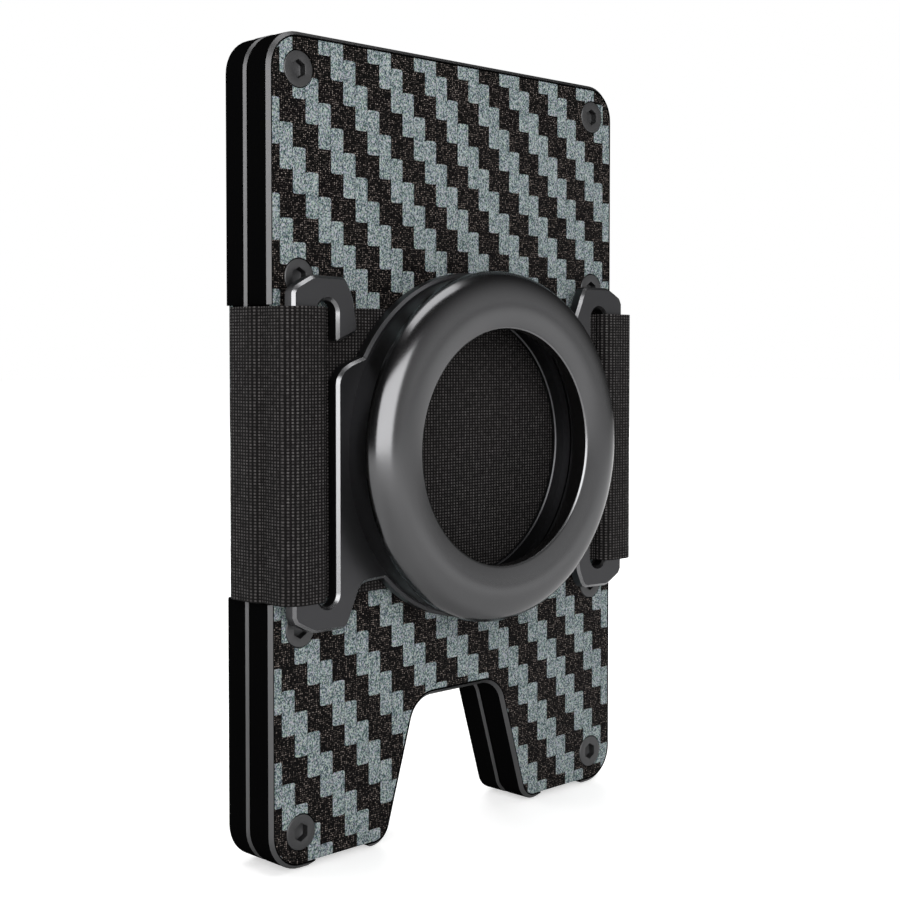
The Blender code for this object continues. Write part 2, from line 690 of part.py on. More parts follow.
def bezel_profile():
    """(radius, height) of the bezel above the back face, counterclockwise as turned."""
    skirt_outer = WALL_INNER - BEZEL_GAP
    skirt_inner = skirt_outer - SKIRT_THICKNESS
    lip = WALL_TOP + BEZEL_GAP
    skirt_end = HOLDER_BASE + HOLDER_THICKNESS + BEZEL_GAP
    shoulder = lip + 0.12
    outer = []
    for step in range(7):
        turn = math.radians(90 - 90 * step / 6)
        outer.append((BEZEL_CREST_RADIUS + (BEZEL_OUTER - BEZEL_CREST_RADIUS) * math.cos(turn),
                      shoulder + (BEZEL_CREST - shoulder) * math.sin(turn)))
    inner = []
    for step in range(1, 4):
        share = step / 4
        inner.append((BEZEL_HOLE + (BEZEL_CREST_RADIUS - BEZEL_HOLE) * share,
                      BEZEL_HOLE_TOP + (BEZEL_CREST - BEZEL_HOLE_TOP)
                      * (1 - (1 - share) ** 2)))
    hole = [(BEZEL_HOLE, BEZEL_HOLE_TOP)]
    under = [
        (BEZEL_OUTER - 0.2, lip),
        (skirt_outer, lip),
        (skirt_outer, skirt_end),
        (skirt_inner, skirt_end),
        (skirt_inner, BEZEL_UNDERSIDE),
        (BEZEL_HOLE, BEZEL_HOLE_BOTTOM),
    ]
    return hole + inner + outer + under


def build_bezel(gunmetal):
    """The lipped ring that screws into the cup and keeps the tag in."""
    raised = [(radius, FACE + height) for radius, height in bezel_profile()]
    bezel = turned("holder_bezel", raised, FACING_BACK, closed=True)
    finish(bezel, gunmetal, origin=(0.0, FACE + WALL_TOP, 0.0))


def band_prism(name, outline):
    """A strip of the band, as tall as the band."""
    return prism(name, outline, -BAND_HEIGHT / 2, BAND_HEIGHT / 2, ON_XY)


def band_side_path():
    """(x, y) of the band from the front panel's side round to the back panel's edge."""
    run = -BAND_RUN_MID
    edge = HALF_WIDTH - BAND_RECESS
    side = BAND_SIDE_MID
    waist = edge + BAND_GAP + 0.05 + BAND_THICKNESS / 2
    return smooth([
        (edge + 0.15, run),
        (edge + 0.6, run - 0.3),
        (side - 0.2, run - 0.1),
        (side, run + 0.6),
        (side, FACE - 2.1),
        (side - 0.25, FACE - 1.4),
        (waist + 0.06, FACE - 0.85),
        (waist, FACE - 0.4),
    ], 4)


def band_loop_path():
    """(x, y) of the band over an arm of the holder, through its slot and underneath."""
    edge = HALF_WIDTH - BAND_RECESS
    half = BAND_THICKNESS / 2
    waist = edge + BAND_GAP + 0.05 + half
    top = FACE + HOLDER_BASE + HOLDER_THICKNESS + BAND_GAP + half + 0.05
    beside = ARM_OUTER + half + 0.35
    through = SLOT_OUTER - half - 0.27
    under = BAND_BACK_MID
    return smooth([
        (waist, FACE - 0.1),
        (waist + 0.1, FACE + 0.9),
        (waist + 0.07, FACE + 1.7),
        (max(waist - 0.1, beside), FACE + 2.5),
        (ARM_OUTER + 0.05, top - 0.05),
        (ARM_OUTER - 0.85, top + 0.1),
        (ARM_OUTER - 1.8, top + 0.02),
        (SLOT_OUTER + 0.45, top + 0.0),
        (through + 0.42, top - 0.25),
        (through + 0.06, top - 0.85),
        (through, top - 1.7),
        (through - 0.45, under + 0.45),
        (SLOT_INNER + 0.6, under + 0.06),
        (SLOT_INNER - 0.2, under),
    ], 4)


def build_band(webbing):
    """The elastic band, in the runs that lie flat and the parts that bend or stretch."""
    edge = HALF_WIDTH - BAND_RECESS
    half = BAND_THICKNESS / 2
    front_end = edge + 0.15 - BAND_JOIN_GAP
    front = box_outline(-front_end, -BAND_RUN_MID - half, front_end, -BAND_RUN_MID + half)
    finish(band_prism("band_front_run", front), webbing)
    back_end = SLOT_INNER - 0.2 - BAND_JOIN_GAP
    back = box_outline(-back_end, BAND_BACK_MID - half, back_end, BAND_BACK_MID + half)
    finish(band_prism("band_back_run", back), webbing)
    for sign, label in ((-1, "left"), (1, "right")):
        for name, path in (("side", band_side_path()), ("loop", band_loop_path())):
            strip = ribbon([(sign * x, y) for x, y in path], BAND_THICKNESS)
            finish(band_prism(f"band_{name}_{label}", strip), webbing)


def build_panels(black, carbon, steel):
    """Both panels, with their pockets, channels and recesses."""
    front_inner = build_inner_plate("front", black)
    channel = box_outline(-HALF_WIDTH - OVERSHOOT, -RECESS_HALF, HALF_WIDTH + OVERSHOOT,
                          RECESS_HALF)
    boolean(front_inner, front_prism("band_channel", channel, CHANNEL_FLOOR,
                                     INNER_TO + 1.0, CUTTERS))
    build_clip_pocket(front_inner)
    front_outer = build_outer_plate("front", black)
    cut_side_recess(front_outer, "front_recess", OUTER_FROM, FACE, front_prism)
    mouth = box_outline(-CLIP_HALF_WIDTH - CLIP_GAP, HALF_HEIGHT - FOOT_LIFT,
                        CLIP_HALF_WIDTH + CLIP_GAP, HALF_HEIGHT + OVERSHOOT)
    boolean(front_outer, front_prism("clip_mouth", mouth, OUTER_FROM - 0.1, FACE + 1.0,
                                     CUTTERS))
    build_sheet("front", carbon)
    build_screws("front", steel)

    back_inner = build_inner_plate("back", black)
    back_outer = build_outer_plate("back", black)
    cut_side_recess(back_inner, "back_inner_recess", INNER_FROM, INNER_TO, back_prism)
    cut_side_recess(back_outer, "back_recess", OUTER_FROM, FACE, back_prism)
    build_sheet("back", carbon)
    build_screws("back", steel)


def main():
    """Builds the wallet."""
    clear_scene()
    black = material("black_anodised_plate", (0.012, 0.012, 0.013), 0.6, 0.3)
    carbon = material("carbon_weave_sheet", (0.11, 0.13, 0.14), 0.0, 0.5)
    steel = material("gunmetal_screw", (0.12, 0.12, 0.125), 1.0, 0.4)
    spring_steel = material("gunmetal_clip", (0.12, 0.12, 0.125), 1.0, 0.35)
    gunmetal = material("gunmetal_holder", (0.05, 0.05, 0.055), 1.0, 0.35)
    webbing = material("elastic_webbing", (0.02, 0.018, 0.018), 0.0, 0.85)
    build_panels(black, carbon, steel)
    build_clip(spring_steel)
    build_holder(gunmetal)
    build_bezel(gunmetal)
    build_band(webbing)


if __name__ == "__main__":
    main()
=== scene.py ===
"""Visual model of a minimalist card wallet.

Two screwed panels with carbon faces, a money clip, an elastic band and a round tag holder.
"""

import logging
import math
from collections.abc import Callable, Iterator, Sequence
from contextlib import contextmanager
from dataclasses import dataclass, field
from enum import Enum
from functools import cache

import bpy
import numpy as np
from mathutils import Matrix, Vector


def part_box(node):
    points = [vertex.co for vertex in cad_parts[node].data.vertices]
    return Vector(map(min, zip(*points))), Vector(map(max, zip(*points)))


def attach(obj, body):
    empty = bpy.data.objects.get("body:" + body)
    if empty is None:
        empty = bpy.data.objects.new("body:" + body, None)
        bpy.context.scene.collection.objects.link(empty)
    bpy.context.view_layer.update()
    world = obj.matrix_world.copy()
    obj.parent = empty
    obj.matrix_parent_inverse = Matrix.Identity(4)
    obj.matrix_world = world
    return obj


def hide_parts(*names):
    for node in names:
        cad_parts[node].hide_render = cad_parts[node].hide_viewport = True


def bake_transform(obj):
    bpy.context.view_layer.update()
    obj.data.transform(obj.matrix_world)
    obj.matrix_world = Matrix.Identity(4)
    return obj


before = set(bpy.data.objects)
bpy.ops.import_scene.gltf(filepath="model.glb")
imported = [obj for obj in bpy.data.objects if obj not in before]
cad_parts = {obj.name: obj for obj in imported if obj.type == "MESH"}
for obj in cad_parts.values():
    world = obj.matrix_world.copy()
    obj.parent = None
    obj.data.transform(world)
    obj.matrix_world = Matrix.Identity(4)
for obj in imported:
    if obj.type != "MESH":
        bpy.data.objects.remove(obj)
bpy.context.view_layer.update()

LOG = logging.getLogger("wallet")
MM = 0.001
TOUCH = 1e-6
Flat = tuple[float, float]


class Face(Enum):
    """The two faces of the wallet."""

    FRONT = "front"
    BACK = "back"

    @property
    def out(self) -> float:
        """The way out of the face along Y, as -1 or +1."""
        return -1.0 if self is Face.FRONT else 1.0

    @property
    def body(self) -> str:
        """The body that this face's panel belongs to."""
        return f"{self.value}_panel"


class Element(Enum):
    """What is picked in edit mode."""

    VERTEX = (True, False, False)
    EDGE = (False, True, False)
    FACE = (False, False, True)


def low(node: str) -> Vector:
    """Lowest corner of a CAD node."""
    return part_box(node)[0]


def high(node: str) -> Vector:
    """Highest corner of a CAD node."""
    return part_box(node)[1]


def centre_height() -> float:
    """Height of the plates' middle above the ground."""
    return (low("back_outer_plate").z + high("back_outer_plate").z) / 2


HALF_WIDTH = (high("front_inner_plate").x - low("front_inner_plate").x) / 2


# ---------------------------------------------------------------------------
# The bench: edit-mode work on one mesh at a time
# ---------------------------------------------------------------------------


class Workpiece:
    """One mesh that is being shaped with edit-mode operators."""

    def __init__(self, obj: bpy.types.Object) -> None:
        """Takes an object whose place is already in its mesh."""
        self.obj = obj

    @staticmethod
    def _clear() -> None:
        """Leaves edit mode and deselects every object."""
        if bpy.context.mode != "OBJECT":
            bpy.ops.object.mode_set(mode="OBJECT")
        bpy.ops.object.select_all(action="DESELECT")

    def _activate(self) -> None:
        """Makes this object the active one and the only one selected."""
        self._clear()
        bpy.context.view_layer.objects.active = self.obj
        self.obj.select_set(True)

    @classmethod
    def _adopt(cls, name: str) -> "Workpiece":
        """Names the primitive just added and puts its place in its mesh."""
        obj = bpy.context.object
        obj.name = name
        obj.data.name = name
        bpy.ops.object.transform_apply(location=True, rotation=True, scale=True)
        return cls(obj)

    @classmethod
    def plane(cls, name: str, centre: Vector, width: float, height: float) -> "Workpiece":
        """An upright rectangle.

        Args:
            name: Name of the piece.
            centre: Its middle.
            width: Size along X.
            height: Size along Z.

        Returns:
            The new piece.
        """
        cls._clear()
        bpy.ops.mesh.primitive_plane_add(
            size=1.0, location=centre, rotation=(math.pi / 2, 0.0, 0.0)
        )
        bpy.context.object.scale = (width, height, 1.0)
        return cls._adopt(name)

    @classmethod
    def block(cls, name: str, least: Sequence[float], most: Sequence[float]) -> "Workpiece":
        """A box between two corners."""
        cls._clear()
        near, far = Vector(least), Vector(most)
        bpy.ops.mesh.primitive_cube_add(size=1.0, location=(near + far) / 2)
        bpy.context.object.scale = far - near
        return cls._adopt(name)

    @classmethod
    def rod(
        cls, name: str, start: Vector, end: Vector, radius: float, sides: int = 48
    ) -> "Workpiece":
        """A cylinder along Y from one point to another.

        Args:
            name: Name of the piece.
            start: Middle of one end.
            end: Middle of the other end, at the same X and Z.
            radius: Its radius.
            sides: How many sides it has.

        Returns:
            The new piece.
        """
        cls._clear()
        bpy.ops.mesh.primitive_cylinder_add(
            vertices=sides,
            radius=radius,
            depth=(end - start).length,
            location=(start + end) / 2,
            rotation=(math.pi / 2, 0.0, 0.0),
        )
        return cls._adopt(name)

    @classmethod
    def trace(cls, name: str, points: Sequence[Vector], close: bool = False) -> "Workpiece":
        """A chain of edges drawn point by point by extruding one vertex.

        Args:
            name: Name of the piece.
            points: The points, in order.
            close: Whether an edge joins the last point to the first.

        Returns:
            The new piece, which has no faces yet.
        """
        cls._clear()
        bpy.ops.mesh.primitive_plane_add(size=0.001, location=points[0])
        piece = cls._adopt(name)
        with piece.edit(Element.VERTEX):
            bpy.ops.mesh.select_all(action="SELECT")
            bpy.ops.mesh.merge(type="CENTER")
            for before, after in zip(points, points[1:]):
                step = Vector(after) - Vector(before)
                bpy.ops.mesh.extrude_region_move(TRANSFORM_OT_translate={"value": step})
        if close:
            last = len(piece.obj.data.vertices) - 1
            piece.pick_numbers(Element.VERTEX, [0, last])
            with piece.edit(Element.VERTEX):
                bpy.ops.mesh.edge_face_add()
        return piece

    @contextmanager
    def edit(self, element: Element = Element.FACE) -> Iterator[None]:
        """Edit mode on this mesh, with one kind of element selectable."""
        self._activate()
        bpy.context.tool_settings.mesh_select_mode = element.value
        bpy.ops.object.mode_set(mode="EDIT")
        try:
            yield
        finally:
            bpy.ops.object.mode_set(mode="OBJECT")

    def pick_numbers(self, element: Element, numbers: Sequence[int]) -> "Workpiece":
        """Selects vertices, edges or faces by number."""
        mesh = self.obj.data
        for group in (mesh.vertices, mesh.edges, mesh.polygons):
            group.foreach_set("select", [False] * len(group))
        group = {
            Element.VERTEX: mesh.vertices,
            Element.EDGE: mesh.edges,
            Element.FACE: mesh.polygons,
        }[element]
        for number in numbers:
            group[number].select = True
        return self

    def pick_faces(self, test: Callable[[Vector, Vector], bool]) -> "Workpiece":
        """Selects the faces whose (middle, normal) pass a test."""
        chosen = [p.index for p in self.obj.data.polygons if test(p.center, p.normal)]
        return self.pick_numbers(Element.FACE, chosen)

    def pick_edges(self, test: Callable[[Vector, Vector], bool]) -> "Workpiece":
        """Selects the edges whose (first end, second end) pass a test."""
        mesh = self.obj.data
        chosen = []
        for edge in mesh.edges:
            first, second = (mesh.vertices[v].co for v in edge.vertices)
            if test(first, second):
                chosen.append(edge.index)
        return self.pick_numbers(Element.EDGE, chosen)

    def pick_vertices(self, test: Callable[[Vector], bool]) -> "Workpiece":
        """Selects the vertices whose place passes a test."""
        chosen = [v.index for v in self.obj.data.vertices if test(v.co)]
        return self.pick_numbers(Element.VERTEX, chosen)

    def cut_line(self, on: Vector, normal: Vector) -> "Workpiece":
        """Bisects the whole mesh by a plane and keeps both sides."""
        with self.edit(Element.FACE):
            bpy.ops.mesh.select_all(action="SELECT")
            bpy.ops.mesh.bisect(plane_co=on, plane_no=normal, use_fill=False)
        return self

    def delete_picked(self) -> "Workpiece":
        """Deletes the picked faces."""
        with self.edit(Element.FACE):
            bpy.ops.mesh.delete(type="FACE")
        return self

    def dissolve_flat(self) -> "Workpiece":
        """Joins faces that lie in one plane."""
        with self.edit(Element.FACE):
            bpy.ops.mesh.select_all(action="SELECT")
            bpy.ops.mesh.dissolve_limited(angle_limit=math.radians(0.5))
        return self

    def extrude(self, step: Sequence[float], element: Element = Element.FACE) -> "Workpiece":
        """Extrudes what is picked."""
        with self.edit(element):
            bpy.ops.mesh.extrude_region_move(TRANSFORM_OT_translate={"value": Vector(step)})
        return self

    def inset(self, thickness: float) -> "Workpiece":
        """Insets the picked faces."""
        with self.edit(Element.FACE):
            bpy.ops.mesh.inset(thickness=thickness, depth=0.0, use_even_offset=True)
        return self

    def bevel(
        self,
        width: float,
        segments: int = 1,
        element: Element = Element.EDGE,
        slot: int | None = None,
    ) -> "Workpiece":
        """Bevels the picked edges or vertices.

        Args:
            width: Width of the bevel.
            segments: How many faces cross it.
            element: Edges, or vertices for the corners of an outline.
            slot: Material slot that the new faces take, or None to keep theirs.

        Returns:
            The piece.
        """
        affect = "VERTICES" if element is Element.VERTEX else "EDGES"
        with self.edit(element):
            bpy.ops.mesh.bevel(
                offset=width,
                segments=segments,
                affect=affect,
                clamp_overlap=False,
                material=-1 if slot is None else slot,
            )
        return self

    def paint_picked(self, slot: int) -> "Workpiece":
        """Gives the picked faces a material slot."""
        with self.edit(Element.FACE):
            self.obj.active_material_index = slot
            bpy.ops.object.material_slot_assign()
        return self

    def spin(self, centre: Vector, axis: Vector, steps: int) -> "Workpiece":
        """Turns the whole chain of edges once about an axis and closes it."""
        with self.edit(Element.EDGE):
            bpy.ops.mesh.select_all(action="SELECT")
            bpy.ops.mesh.spin(steps=steps, angle=math.tau, center=centre, axis=axis)
            bpy.ops.mesh.select_all(action="SELECT")
            bpy.ops.mesh.remove_doubles(threshold=1e-7)
            bpy.ops.mesh.normals_make_consistent(inside=False)
        return self

    def tidy(self) -> "Workpiece":
        """Merges doubles and turns the faces out."""
        with self.edit(Element.FACE):
            bpy.ops.mesh.select_all(action="SELECT")
            bpy.ops.mesh.remove_doubles(threshold=1e-7)
            bpy.ops.mesh.normals_make_consistent(inside=False)
        return self

    def apply(self, kind: str, **values: object) -> "Workpiece":
        """Adds a modifier with these values and applies it."""
        self._activate()
        modifier = self.obj.modifiers.new(kind.title(), kind)
        for key, value in values.items():
            setattr(modifier, key, value)
        bpy.ops.object.modifier_apply(modifier=modifier.name)
        return self

    def boolean(self, tool: "Workpiece", operation: str = "DIFFERENCE") -> "Workpiece":
        """Cuts or joins with a tool, which is used up."""
        self.apply("BOOLEAN", object=tool.obj, operation=operation, solver="MANIFOLD")
        bpy.data.objects.remove(tool.obj, do_unlink=True)
        return self

    def smooth(self, angle: float = 30.0) -> "Workpiece":
        """Shades smooth, but sharp across edges above an angle in degrees."""
        self._activate()
        bpy.ops.object.shade_smooth_by_angle(angle=math.radians(angle))
        return self

    def copy(self, name: str, move: Vector) -> "Workpiece":
        """A copy with its own mesh, moved by a step."""
        twin = self.obj.copy()
        twin.data = self.obj.data.copy()
        twin.name = name
        twin.data.name = name
        twin.data.transform(Matrix.Translation(move))
        bpy.context.scene.collection.objects.link(twin)
        return Workpiece(twin)

    def slots(self, *materials: bpy.types.Material) -> "Workpiece":
        """Gives the piece its material slots."""
        self.obj.data.materials.clear()
        for material in materials:
            self.obj.data.materials.append(material)
        return self


def joined(tools: Sequence[Workpiece]) -> Workpiece:
    """Several separate tools as one mesh."""
    Workpiece._clear()
    for tool in tools:
        tool.obj.select_set(True)
    bpy.context.view_layer.objects.active = tools[0].obj
    bpy.ops.object.join()
    return tools[0]


# ---------------------------------------------------------------------------
# Shader building
# ---------------------------------------------------------------------------


class Wiring:
    """Short ways to add and link nodes in one node tree."""

    def __init__(self, tree: bpy.types.NodeTree) -> None:
        """Takes the tree that the nodes go in."""
        self.tree = tree

    def node(self, kind: str, **values: object) -> bpy.types.Node:
        """A new node with these properties."""
        made = self.tree.nodes.new(kind)
        for key, value in values.items():
            setattr(made, key, value)
        return made

    def feed(self, socket: bpy.types.NodeSocket, value: object) -> None:
        """Links a socket to an output, or sets its value."""
        if isinstance(value, bpy.types.NodeSocket):
            self.tree.links.new(value, socket)
        else:
            socket.default_value = value

    def math(self, operation: str, *values: object) -> bpy.types.NodeSocket:
        """The result of a Math node."""
        made = self.node("ShaderNodeMath", operation=operation)
        for socket, value in zip(made.inputs, values):
            self.feed(socket, value)
        return made.outputs[0]

    def mix(self, share: object, first: object, second: object) -> bpy.types.NodeSocket:
        """A mix of two colours."""
        made = self.node("ShaderNodeMix", data_type="RGBA")
        self.feed(made.inputs["Factor"], share)
        self.feed(made.inputs["A"], first)
        self.feed(made.inputs["B"], second)
        return made.outputs["Result"]

    def ramp(
        self, value: object, start: float, end: float, low_out: float = 0.0, high_out: float = 1.0
    ) -> bpy.types.NodeSocket:
        """A value moved smoothly from one range to another."""
        made = self.node("ShaderNodeMapRange", interpolation_type="SMOOTHSTEP")
        for name, given in (
            ("Value", value),
            ("From Min", start),
            ("From Max", end),
            ("To Min", low_out),
            ("To Max", high_out),
        ):
            self.feed(made.inputs[name], given)
        return made.outputs["Result"]

    def noise(self, vector: object, scale: float, detail: float = 2.0) -> bpy.types.Node:
        """A noise texture."""
        made = self.node("ShaderNodeTexNoise")
        self.feed(made.inputs["Vector"], vector)
        made.inputs["Scale"].default_value = scale
        made.inputs["Detail"].default_value = detail
        return made

    def bump(self, height: object, distance: float, strength: float = 1.0) -> bpy.types.NodeSocket:
        """The normal of a Bump node."""
        made = self.node("ShaderNodeBump")
        made.inputs["Distance"].default_value = distance
        made.inputs["Strength"].default_value = strength
        self.feed(made.inputs["Height"], height)
        return made.outputs["Normal"]


class GroupShelf:
    """The shader node groups that several materials share, each built once."""

    def _start(
        self, name: str, inputs: dict[str, tuple[str, float]], outputs: dict[str, str]
    ) -> tuple[Wiring, bpy.types.Node, bpy.types.Node]:
        """A new group with its sockets."""
        tree = bpy.data.node_groups.new(name, "ShaderNodeTree")
        for label, (kind, value) in inputs.items():
            socket = tree.interface.new_socket(label, in_out="INPUT", socket_type=kind)
            if kind == "NodeSocketFloat":
                socket.default_value = value
        for label, kind in outputs.items():
            tree.interface.new_socket(label, in_out="OUTPUT", socket_type=kind)
        wiring = Wiring(tree)
        return wiring, wiring.node("NodeGroupInput"), wiring.node("NodeGroupOutput")

    @cache
    def twill(self) -> bpy.types.NodeTree:
        """A two by two twill: which tow shows, and how each tow bulges."""
        wire, given, out = self._start(
            "twill weave",
            {
                "Across": ("NodeSocketFloat", 0.0),
                "Up": ("NodeSocketFloat", 0.0),
                "Column": ("NodeSocketFloat", 2.0 * MM),
                "Row": ("NodeSocketFloat", 2.0 * MM),
            },
            {
                "Warp": "NodeSocketFloat",
                "Height": "NodeSocketFloat",
                "Seam": "NodeSocketFloat",
            },
        )
        across = wire.math("DIVIDE", given.outputs["Across"], given.outputs["Column"])
        up = wire.math("DIVIDE", given.outputs["Up"], given.outputs["Row"])
        column = wire.math("FLOOR", across)
        inside = wire.math("FRACT", across)
        bow = wire.math("MULTIPLY", wire.math("POWER", wire.math(
            "ABSOLUTE", wire.math("SUBTRACT", inside, 0.5)), 8.0), 20.0)
        along = wire.math("WRAP", wire.math("ADD", up, column), 4.0, 0.0)
        start = wire.math("SUBTRACT", along, bow)
        end = wire.math("ADD", along, bow)
        warp = wire.math(
            "MULTIPLY",
            wire.math("GREATER_THAN", start, 0.02),
            wire.math("LESS_THAN", end, 1.98),
        )
        side = wire.math("ABSOLUTE", wire.math("SUBTRACT", inside, 0.5))
        crown = wire.math("SUBTRACT", 1.0, wire.math("POWER", wire.math(
            "MULTIPLY", side, 2.0), 4.0))
        arch = wire.math("SINE", wire.math("MULTIPLY", along, math.pi / 2))
        row = wire.math("ABSOLUTE", wire.math("SUBTRACT", wire.math("FRACT", up), 0.5))
        flat = wire.math("SUBTRACT", 1.0, wire.math("POWER", wire.math(
            "MULTIPLY", row, 2.0), 4.0))
        warp_height = wire.math("MULTIPLY", crown, wire.math("ADD", 0.6, wire.math(
            "MULTIPLY", wire.math("ABSOLUTE", arch), 0.4)))
        weft_height = wire.math("MULTIPLY", flat, 0.7)
        height = wire.math("ADD", wire.math("MULTIPLY", warp, warp_height), wire.math(
            "MULTIPLY", wire.math("SUBTRACT", 1.0, warp), weft_height))
        seam = wire.ramp(side, 0.44, 0.5)
        wire.feed(out.inputs["Warp"], warp)
        wire.feed(out.inputs["Height"], height)
        wire.feed(out.inputs["Seam"], seam)
        return wire.tree

    @cache
    def threads(self) -> bpy.types.NodeTree:
        """A fine square mesh of threads: one on each crossing, nought between; it places the
        painted glints on the black weft.
        """
        wire, given, out = self._start(
            "thread mesh",
            {
                "Across": ("NodeSocketFloat", 0.0),
                "Up": ("NodeSocketFloat", 0.0),
                "Column": ("NodeSocketFloat", 0.24 * MM),
                "Row": ("NodeSocketFloat", 0.22 * MM),
            },
            {"Value": "NodeSocketFloat"},
        )
        sides = []
        for along, pitch in (("Across", "Column"), ("Up", "Row")):
            cell = wire.math("DIVIDE", given.outputs[along], given.outputs[pitch])
            off = wire.math("ABSOLUTE", wire.math("SUBTRACT", wire.math("FRACT", cell), 0.5))
            sides.append(wire.ramp(off, 0.42, 0.1, 0.03, 1.0))
        wire.feed(out.inputs["Value"], wire.math("MULTIPLY", *sides))
        return wire.tree

    @cache
    def ribs(self) -> bpy.types.NodeTree:
        """Ribbed webbing: how much of a pick shows, and the ribs' height."""
        wire, given, out = self._start(
            "webbing ribs",
            {
                "Vector": ("NodeSocketVector", 0.0),
                "Along": ("NodeSocketFloat", 0.0),
                "Up": ("NodeSocketFloat", 0.0),
                "Rib": ("NodeSocketFloat", 0.44 * MM),
                "Pick": ("NodeSocketFloat", 0.33 * MM),
            },
            {"Mask": "NodeSocketFloat", "Height": "NodeSocketFloat"},
        )
        shares = []
        for way, pitch, edge, flat in (("Along", "Rib", 0.38, 0.14), ("Up", "Pick", 0.42, 0.16)):
            cell = wire.math("DIVIDE", given.outputs[way], given.outputs[pitch])
            off = wire.math("ABSOLUTE", wire.math("SUBTRACT", wire.math("FRACT", cell), 0.5))
            shares.append(wire.ramp(off, edge, flat))
        noise = wire.noise(given.outputs["Vector"], 1800.0, 2.0)
        uneven = wire.ramp(noise.outputs["Fac"], 0.3, 0.75, 0.35, 1.0)
        mask = wire.math("MULTIPLY", wire.math("MULTIPLY", *shares), uneven)
        height = wire.math("MULTIPLY_ADD", shares[1], 0.5, shares[0])
        wire.feed(out.inputs["Mask"], mask)
        wire.feed(out.inputs["Height"], height)
        return wire.tree

    @cache
    def speckle(self) -> bpy.types.NodeTree:
        """Fine uneven grain: a value around one half and a tinted colour."""
        wire, given, out = self._start(
            "fine speckle",
            {
                "Vector": ("NodeSocketVector", 0.0),
                "Scale": ("NodeSocketFloat", 6000.0),
                "Stretch": ("NodeSocketFloat", 1.0),
            },
            {"Value": "NodeSocketFloat", "Colour": "NodeSocketColor"},
        )
        parts = wire.node("ShaderNodeSeparateXYZ")
        wire.feed(parts.inputs[0], given.outputs["Vector"])
        spot = wire.node("ShaderNodeCombineXYZ")
        wire.feed(spot.inputs[0], parts.outputs[0])
        wire.feed(spot.inputs[1], parts.outputs[1])
        wire.feed(spot.inputs[2], wire.math("DIVIDE", parts.outputs[2], given.outputs["Stretch"]))
        noise = wire.noise(spot.outputs[0], 1.0, 1.0)
        wire.feed(noise.inputs["Scale"], given.outputs["Scale"])
        wire.feed(out.inputs["Value"], wire.ramp(noise.outputs["Fac"], 0.3, 0.7))
        wire.feed(out.inputs["Colour"], noise.outputs["Color"])
        return wire.tree

    @cache
    def handling(self) -> bpy.types.NodeTree:
        """Faint wear of a handled metal: broad smudges and fine grain."""
        wire, given, out = self._start(
            "handling marks",
            {
                "Vector": ("NodeSocketVector", 0.0),
                "Smudge": ("NodeSocketFloat", 0.06),
                "Grain": ("NodeSocketFloat", 0.03),
            },
            {"Roughness": "NodeSocketFloat", "Height": "NodeSocketFloat"},
        )
        broad = wire.noise(given.outputs["Vector"], 60.0, 3.0)
        fine = wire.noise(given.outputs["Vector"], 5000.0, 2.0)
        smudge = wire.math("MULTIPLY", wire.math(
            "SUBTRACT", broad.outputs["Fac"], 0.5), given.outputs["Smudge"])
        grain = wire.math("MULTIPLY", wire.math(
            "SUBTRACT", fine.outputs["Fac"], 0.5), given.outputs["Grain"])
        wire.feed(out.inputs["Roughness"], wire.math("ADD", smudge, grain))
        wire.feed(out.inputs["Height"], fine.outputs["Fac"])
        return wire.tree

    def place(self, wire: Wiring, tree: bpy.types.NodeTree, **values: object) -> bpy.types.Node:
        """A group node in a material, with its own values."""
        made = wire.node("ShaderNodeGroup")
        made.node_tree = tree
        for key, value in values.items():
            wire.feed(made.inputs[key], value)
        return made


SHELF = GroupShelf()


def principled(name: str) -> tuple[bpy.types.Material, Wiring, bpy.types.Node]:
    """A new material with its wiring and its Principled shader."""
    made = bpy.data.materials.new(name)
    made.use_nodes = True
    wire = Wiring(made.node_tree)
    return made, wire, made.node_tree.nodes["Principled BSDF"]


@dataclass(frozen=True)
class MetalFinish:
    """A dark coated or brushed metal."""

    name: str
    colour: tuple[float, float, float]
    roughness: float
    metallic: float = 1.0
    smudge: float = 0.06
    grain: float = 0.03
    tooth: float = 0.0
    specular: float = 0.5

    def build(self) -> bpy.types.Material:
        """The material of this finish."""
        made, wire, shader = principled(self.name)
        place = wire.node("ShaderNodeTexCoord").outputs["Object"]
        marks = SHELF.place(
            wire, SHELF.handling(), Vector=place, Smudge=self.smudge, Grain=self.grain
        )
        tint = wire.noise(place, 90.0, 2.0).outputs["Fac"]
        dark = (*(0.9 * c for c in self.colour), 1.0)
        pale = (*(1.1 * c for c in self.colour), 1.0)
        wire.feed(shader.inputs["Base Color"], wire.mix(tint, dark, pale))
        wire.feed(
            shader.inputs["Roughness"],
            wire.math("ADD", marks.outputs["Roughness"], self.roughness),
        )
        shader.inputs["Metallic"].default_value = self.metallic
        shader.inputs["Specular IOR Level"].default_value = self.specular
        if self.tooth > 0:
            wire.feed(
                shader.inputs["Normal"],
                wire.bump(marks.outputs["Height"], self.tooth * MM),
            )
        return made


